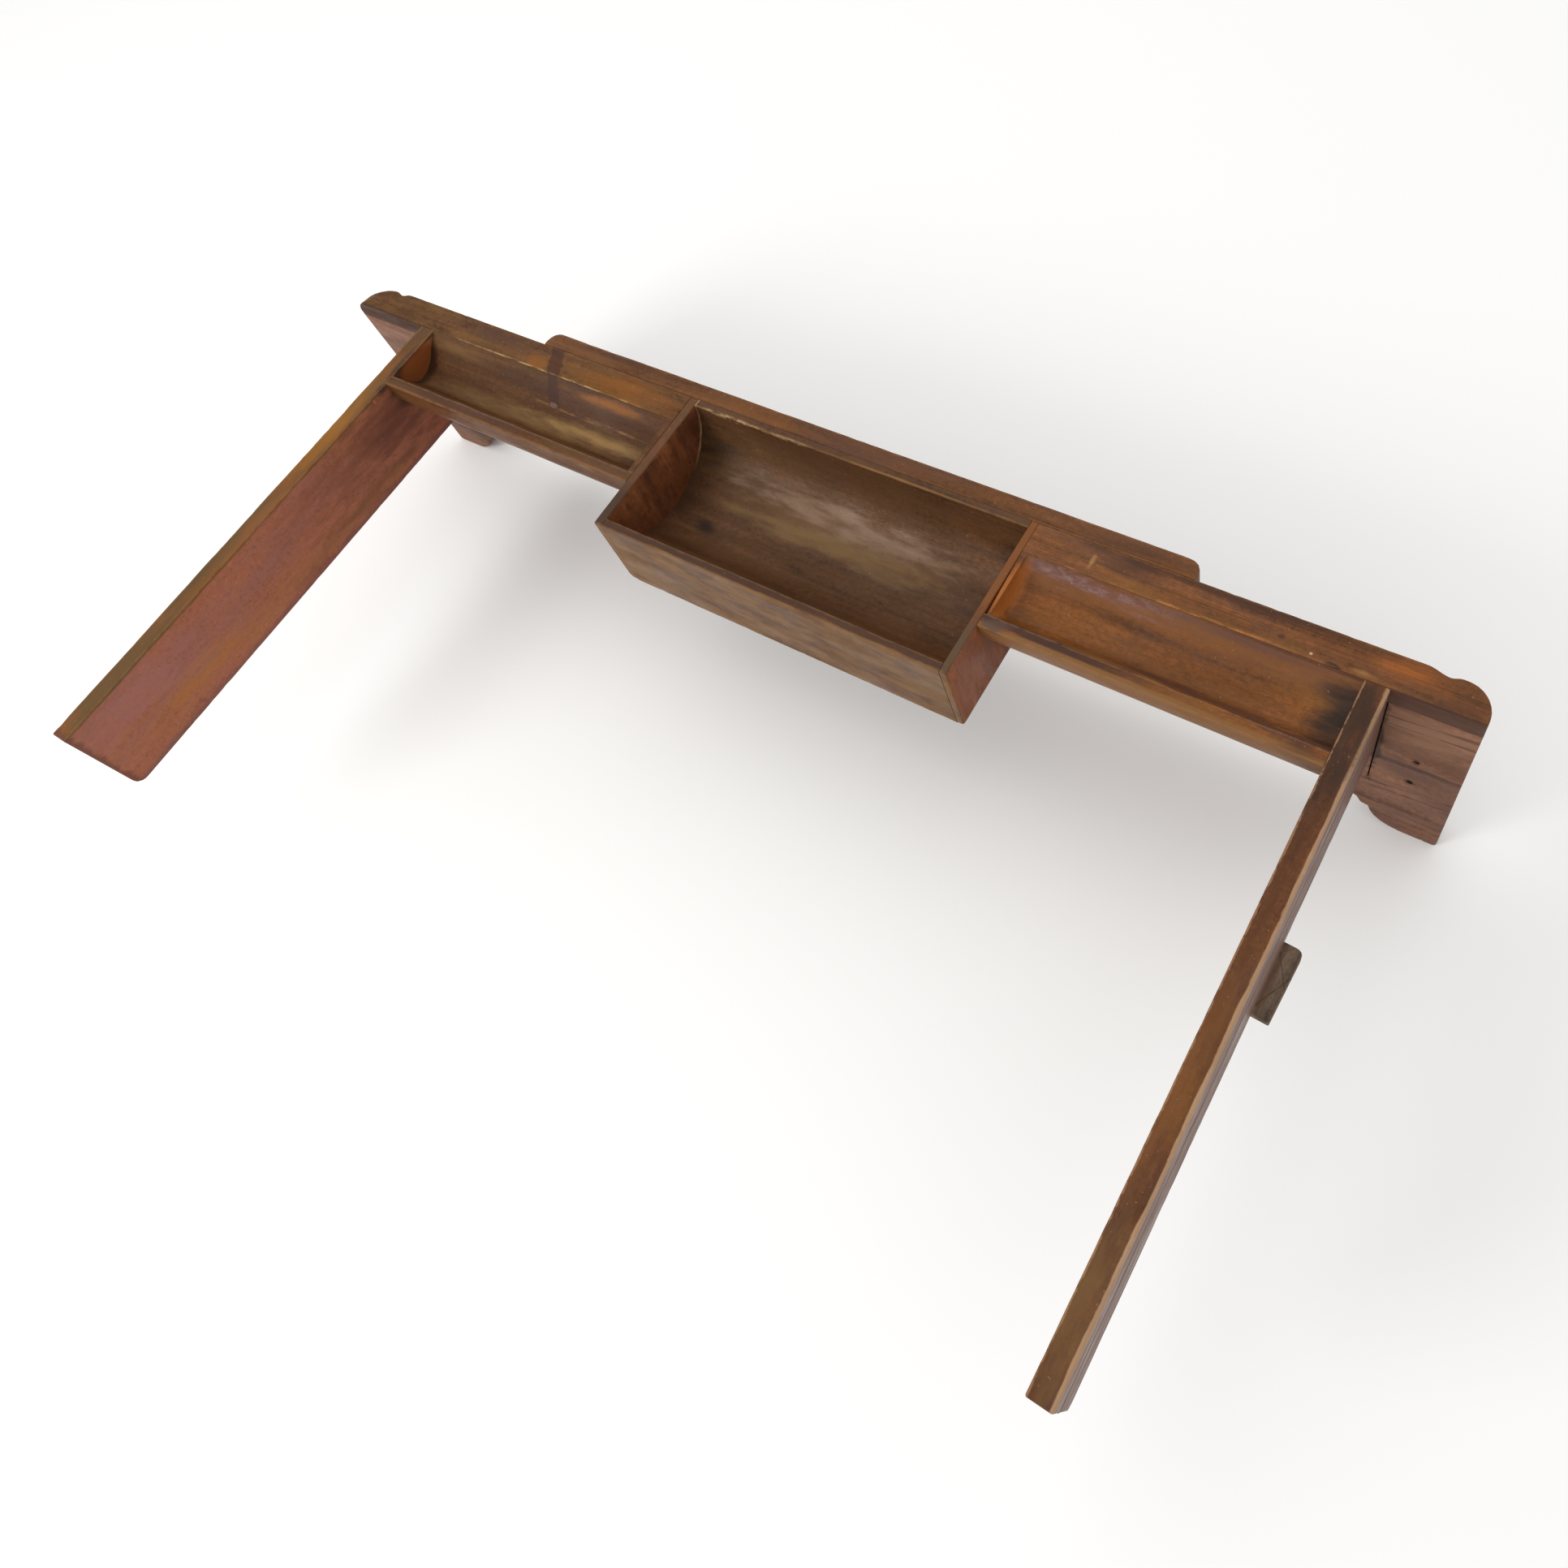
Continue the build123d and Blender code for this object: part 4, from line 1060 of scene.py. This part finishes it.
cleat_places = stations(cleat_lo[X], cleat_hi[X], 6.0, CLEAT_ROUND, CLEAT_ROUND)
add_board("worn_cleat", "back_cleat", cleat_wood, X, cleat_places, cleat_section, (0.0, 0.0),
          seed=4.0)

for name, node, lo, hi, side, material, seed in (
    ("worn_left_arm", "left_arm", left_arm_lo, left_arm_hi, -1, left_arm_wood, 5.0),
    ("worn_right_arm", "right_arm", right_arm_lo, right_arm_hi, 1, right_arm_wood, 6.0),
):
    tip_places = [lo[Y] + TIP_RADIUS * f for f in (0.5, 0.75, 1.0)]
    arm_places = stations(lo[Y], hi[Y], 5.0, 1.3, 0.0, extra=[*tip_places, RAIL_FRONT, RAIL_FRONT + SHARP_STEP])
    add_board(name, node, material, Y, arm_places, arm_section(lo, hi, side), (1.3, 0.0), seed)

tray_places = stations(tray_lo[X], tray_hi[X], 4.0, 0.0, 0.0)
add_board("worn_tray", "tray_body", tray_wood, X, tray_places, tray_section, (0.0, 0.0), seed=8.0)
for side, outer, inner, spacing, rounds, worn, low_round, material, seed in (
    ("left", left_end_lo[X], left_end_hi[X], 2.0, (1.1, 0.9), 1.0, 6.0, left_end_wood, 9.0),
    ("right", right_end_hi[X], right_end_lo[X], 1.5, (0.8, 1.0), 1.2, 2.5, right_end_wood, 10.0),
):
    inward = math.copysign(low_round, inner - outer)
    board_places = stations(min(outer, inner), max(outer, inner), spacing, *rounds,
                            extra=[outer + inward * f for f in END_ROUND_STEPS])
    add_board(f"worn_{side}_end", f"tray_{side}_end", material, X, board_places,
              end_board_section(outer, worn, low_round), rounds, seed, spacing=3.0)

run_out = [left_trough_hi[X] - LEFT_WALL - RUN_OUT * f for f in RUN_OUT_STEPS]
left_trough_places = stations(left_trough_lo[X], left_trough_hi[X], 4.0, 0.0, 0.5, extra=run_out)
left_section = trough_section(left_trough_lo, left_trough_hi, 8.4, 22.0, LEFT_HOLLOW, 1, LEFT_WALL, 1.0)
add_board("worn_left_trough", "left_trough", left_trough_wood, X, left_trough_places,
          left_section, (0.0, 0.5), seed=11.0)
run_out = [right_trough_lo[X] + RIGHT_WALL + RUN_OUT * f for f in RUN_OUT_STEPS]
right_trough_places = stations(right_trough_lo[X], right_trough_hi[X], 4.0, 0.5, 0.0, extra=run_out)
right_section = trough_section(right_trough_lo, right_trough_hi, 9.8, 29.0, RIGHT_HOLLOW, -1, RIGHT_WALL, 0.52)
# A narrow wedge stands open between the right trough and the tray.
slit_plan = [(NOTCH_RIGHT - 1, 138.5), (NOTCH_RIGHT + 2.2, 138.5), (NOTCH_RIGHT + 0.2, 189.0),
             (NOTCH_RIGHT - 1, 189.0)]
slit = prism([(*p, TOP - 5) for p in slit_plan], [(*p, TOP + 2) for p in slit_plan])
add_board("worn_right_trough", "right_trough", right_trough_wood, X, right_trough_places,
          right_section, (0.5, 0.0), seed=12.0, cutters=[slit])

lug_places = stations(lug_lo[Z], lug_hi[Z], 1.5, 0.8, 0.9)
add_board("worn_lug", "right_lug", lug_wood, Z, lug_places, lug_section, (0.8, 0.9), seed=13.0,
          spacing=3.0)

# CAD nodes that keep their own shape.
clothe("left_arm_filler", rail_wood)
clothe("right_arm_filler", rail_wood)
clothe("cap_dowels", hidden_wood)
old_iron = iron("old_iron")
for node in ("arm_nails", "cleat_screws", "lug_nails", "tray_nails", "trough_nails"):
    clothe(node, old_iron)

# Studio ---------------------------------------------------

FLOOR_REACH = 9.0
floor_mesh = bpy.data.meshes.new("floor")
floor_corners = [(a * FLOOR_REACH, b * FLOOR_REACH, 0) for a, b in ((-1, -1), (1, -1), (1, 1), (-1, 1))]
floor_mesh.from_pydata(floor_corners, [], [(0, 1, 2, 3)])
floor = bpy.data.objects.new("floor", floor_mesh)
bpy.context.collection.objects.link(floor)
paper = Shader("floor_paper")
paper.colour = (0.88, 0.88, 0.875)
floor_mesh.materials.append(paper.surface(roughness=0.9, gloss=0.1))

world = bpy.data.worlds.new("soft_room")
world.use_nodes = True
background = world.node_tree.nodes["Background"]
background.inputs["Color"].default_value = (1.0, 1.0, 1.0, 1.0)
background.inputs["Strength"].default_value = 0.90
bpy.context.scene.world = world


def area_light(name, place, target, size, power, colour):
    """A square soft lamp that points at a target."""
    data = bpy.data.lights.new(name, "AREA")
    data.size = size
    data.energy = power
    data.color = colour
    lamp = bpy.data.objects.new(name, data)
    lamp.location = place
    lamp.rotation_euler = (Vector(target) - Vector(place)).to_track_quat("-Z", "Y").to_euler()
    bpy.context.collection.objects.link(lamp)


middle = (cad_box[0] + cad_box[1]) / 2
area_light("window", (-1.25, -1.75, 1.45), middle, 0.9, 24, (1.0, 0.98, 0.95))
area_light("ceiling", (-0.4, 0.5, 2.6), middle, 2.2, 12, (1.0, 0.97, 0.92))

# Camera ---------------------------------------------------

# Held above the right arm, looking down to the left along the rail.
CAMERA_HEIGHT = cad_box[1].z + 0.680
CAMERA_PLACE, CAMERA_ANGLES = (0.474, -0.18025, CAMERA_HEIGHT), (29.9601, 11.1465, 30.8525)
camera_data = bpy.data.cameras.new("camera")
camera_data.sensor_width, camera_data.lens = 36.0, 28.88
camera_data.shift_x, camera_data.shift_y = -0.0829, -0.0834
camera_data.clip_start, camera_data.clip_end = 0.01, 50.0
camera = bpy.data.objects.new("camera", camera_data)
camera_turn = Euler([math.radians(a) for a in CAMERA_ANGLES]).to_matrix()
camera.matrix_world = Matrix.Translation(CAMERA_PLACE) @ camera_turn.to_4x4()
bpy.context.collection.objects.link(camera)
bpy.context.scene.camera = camera
bpy.context.scene.view_settings.view_transform = "Standard"
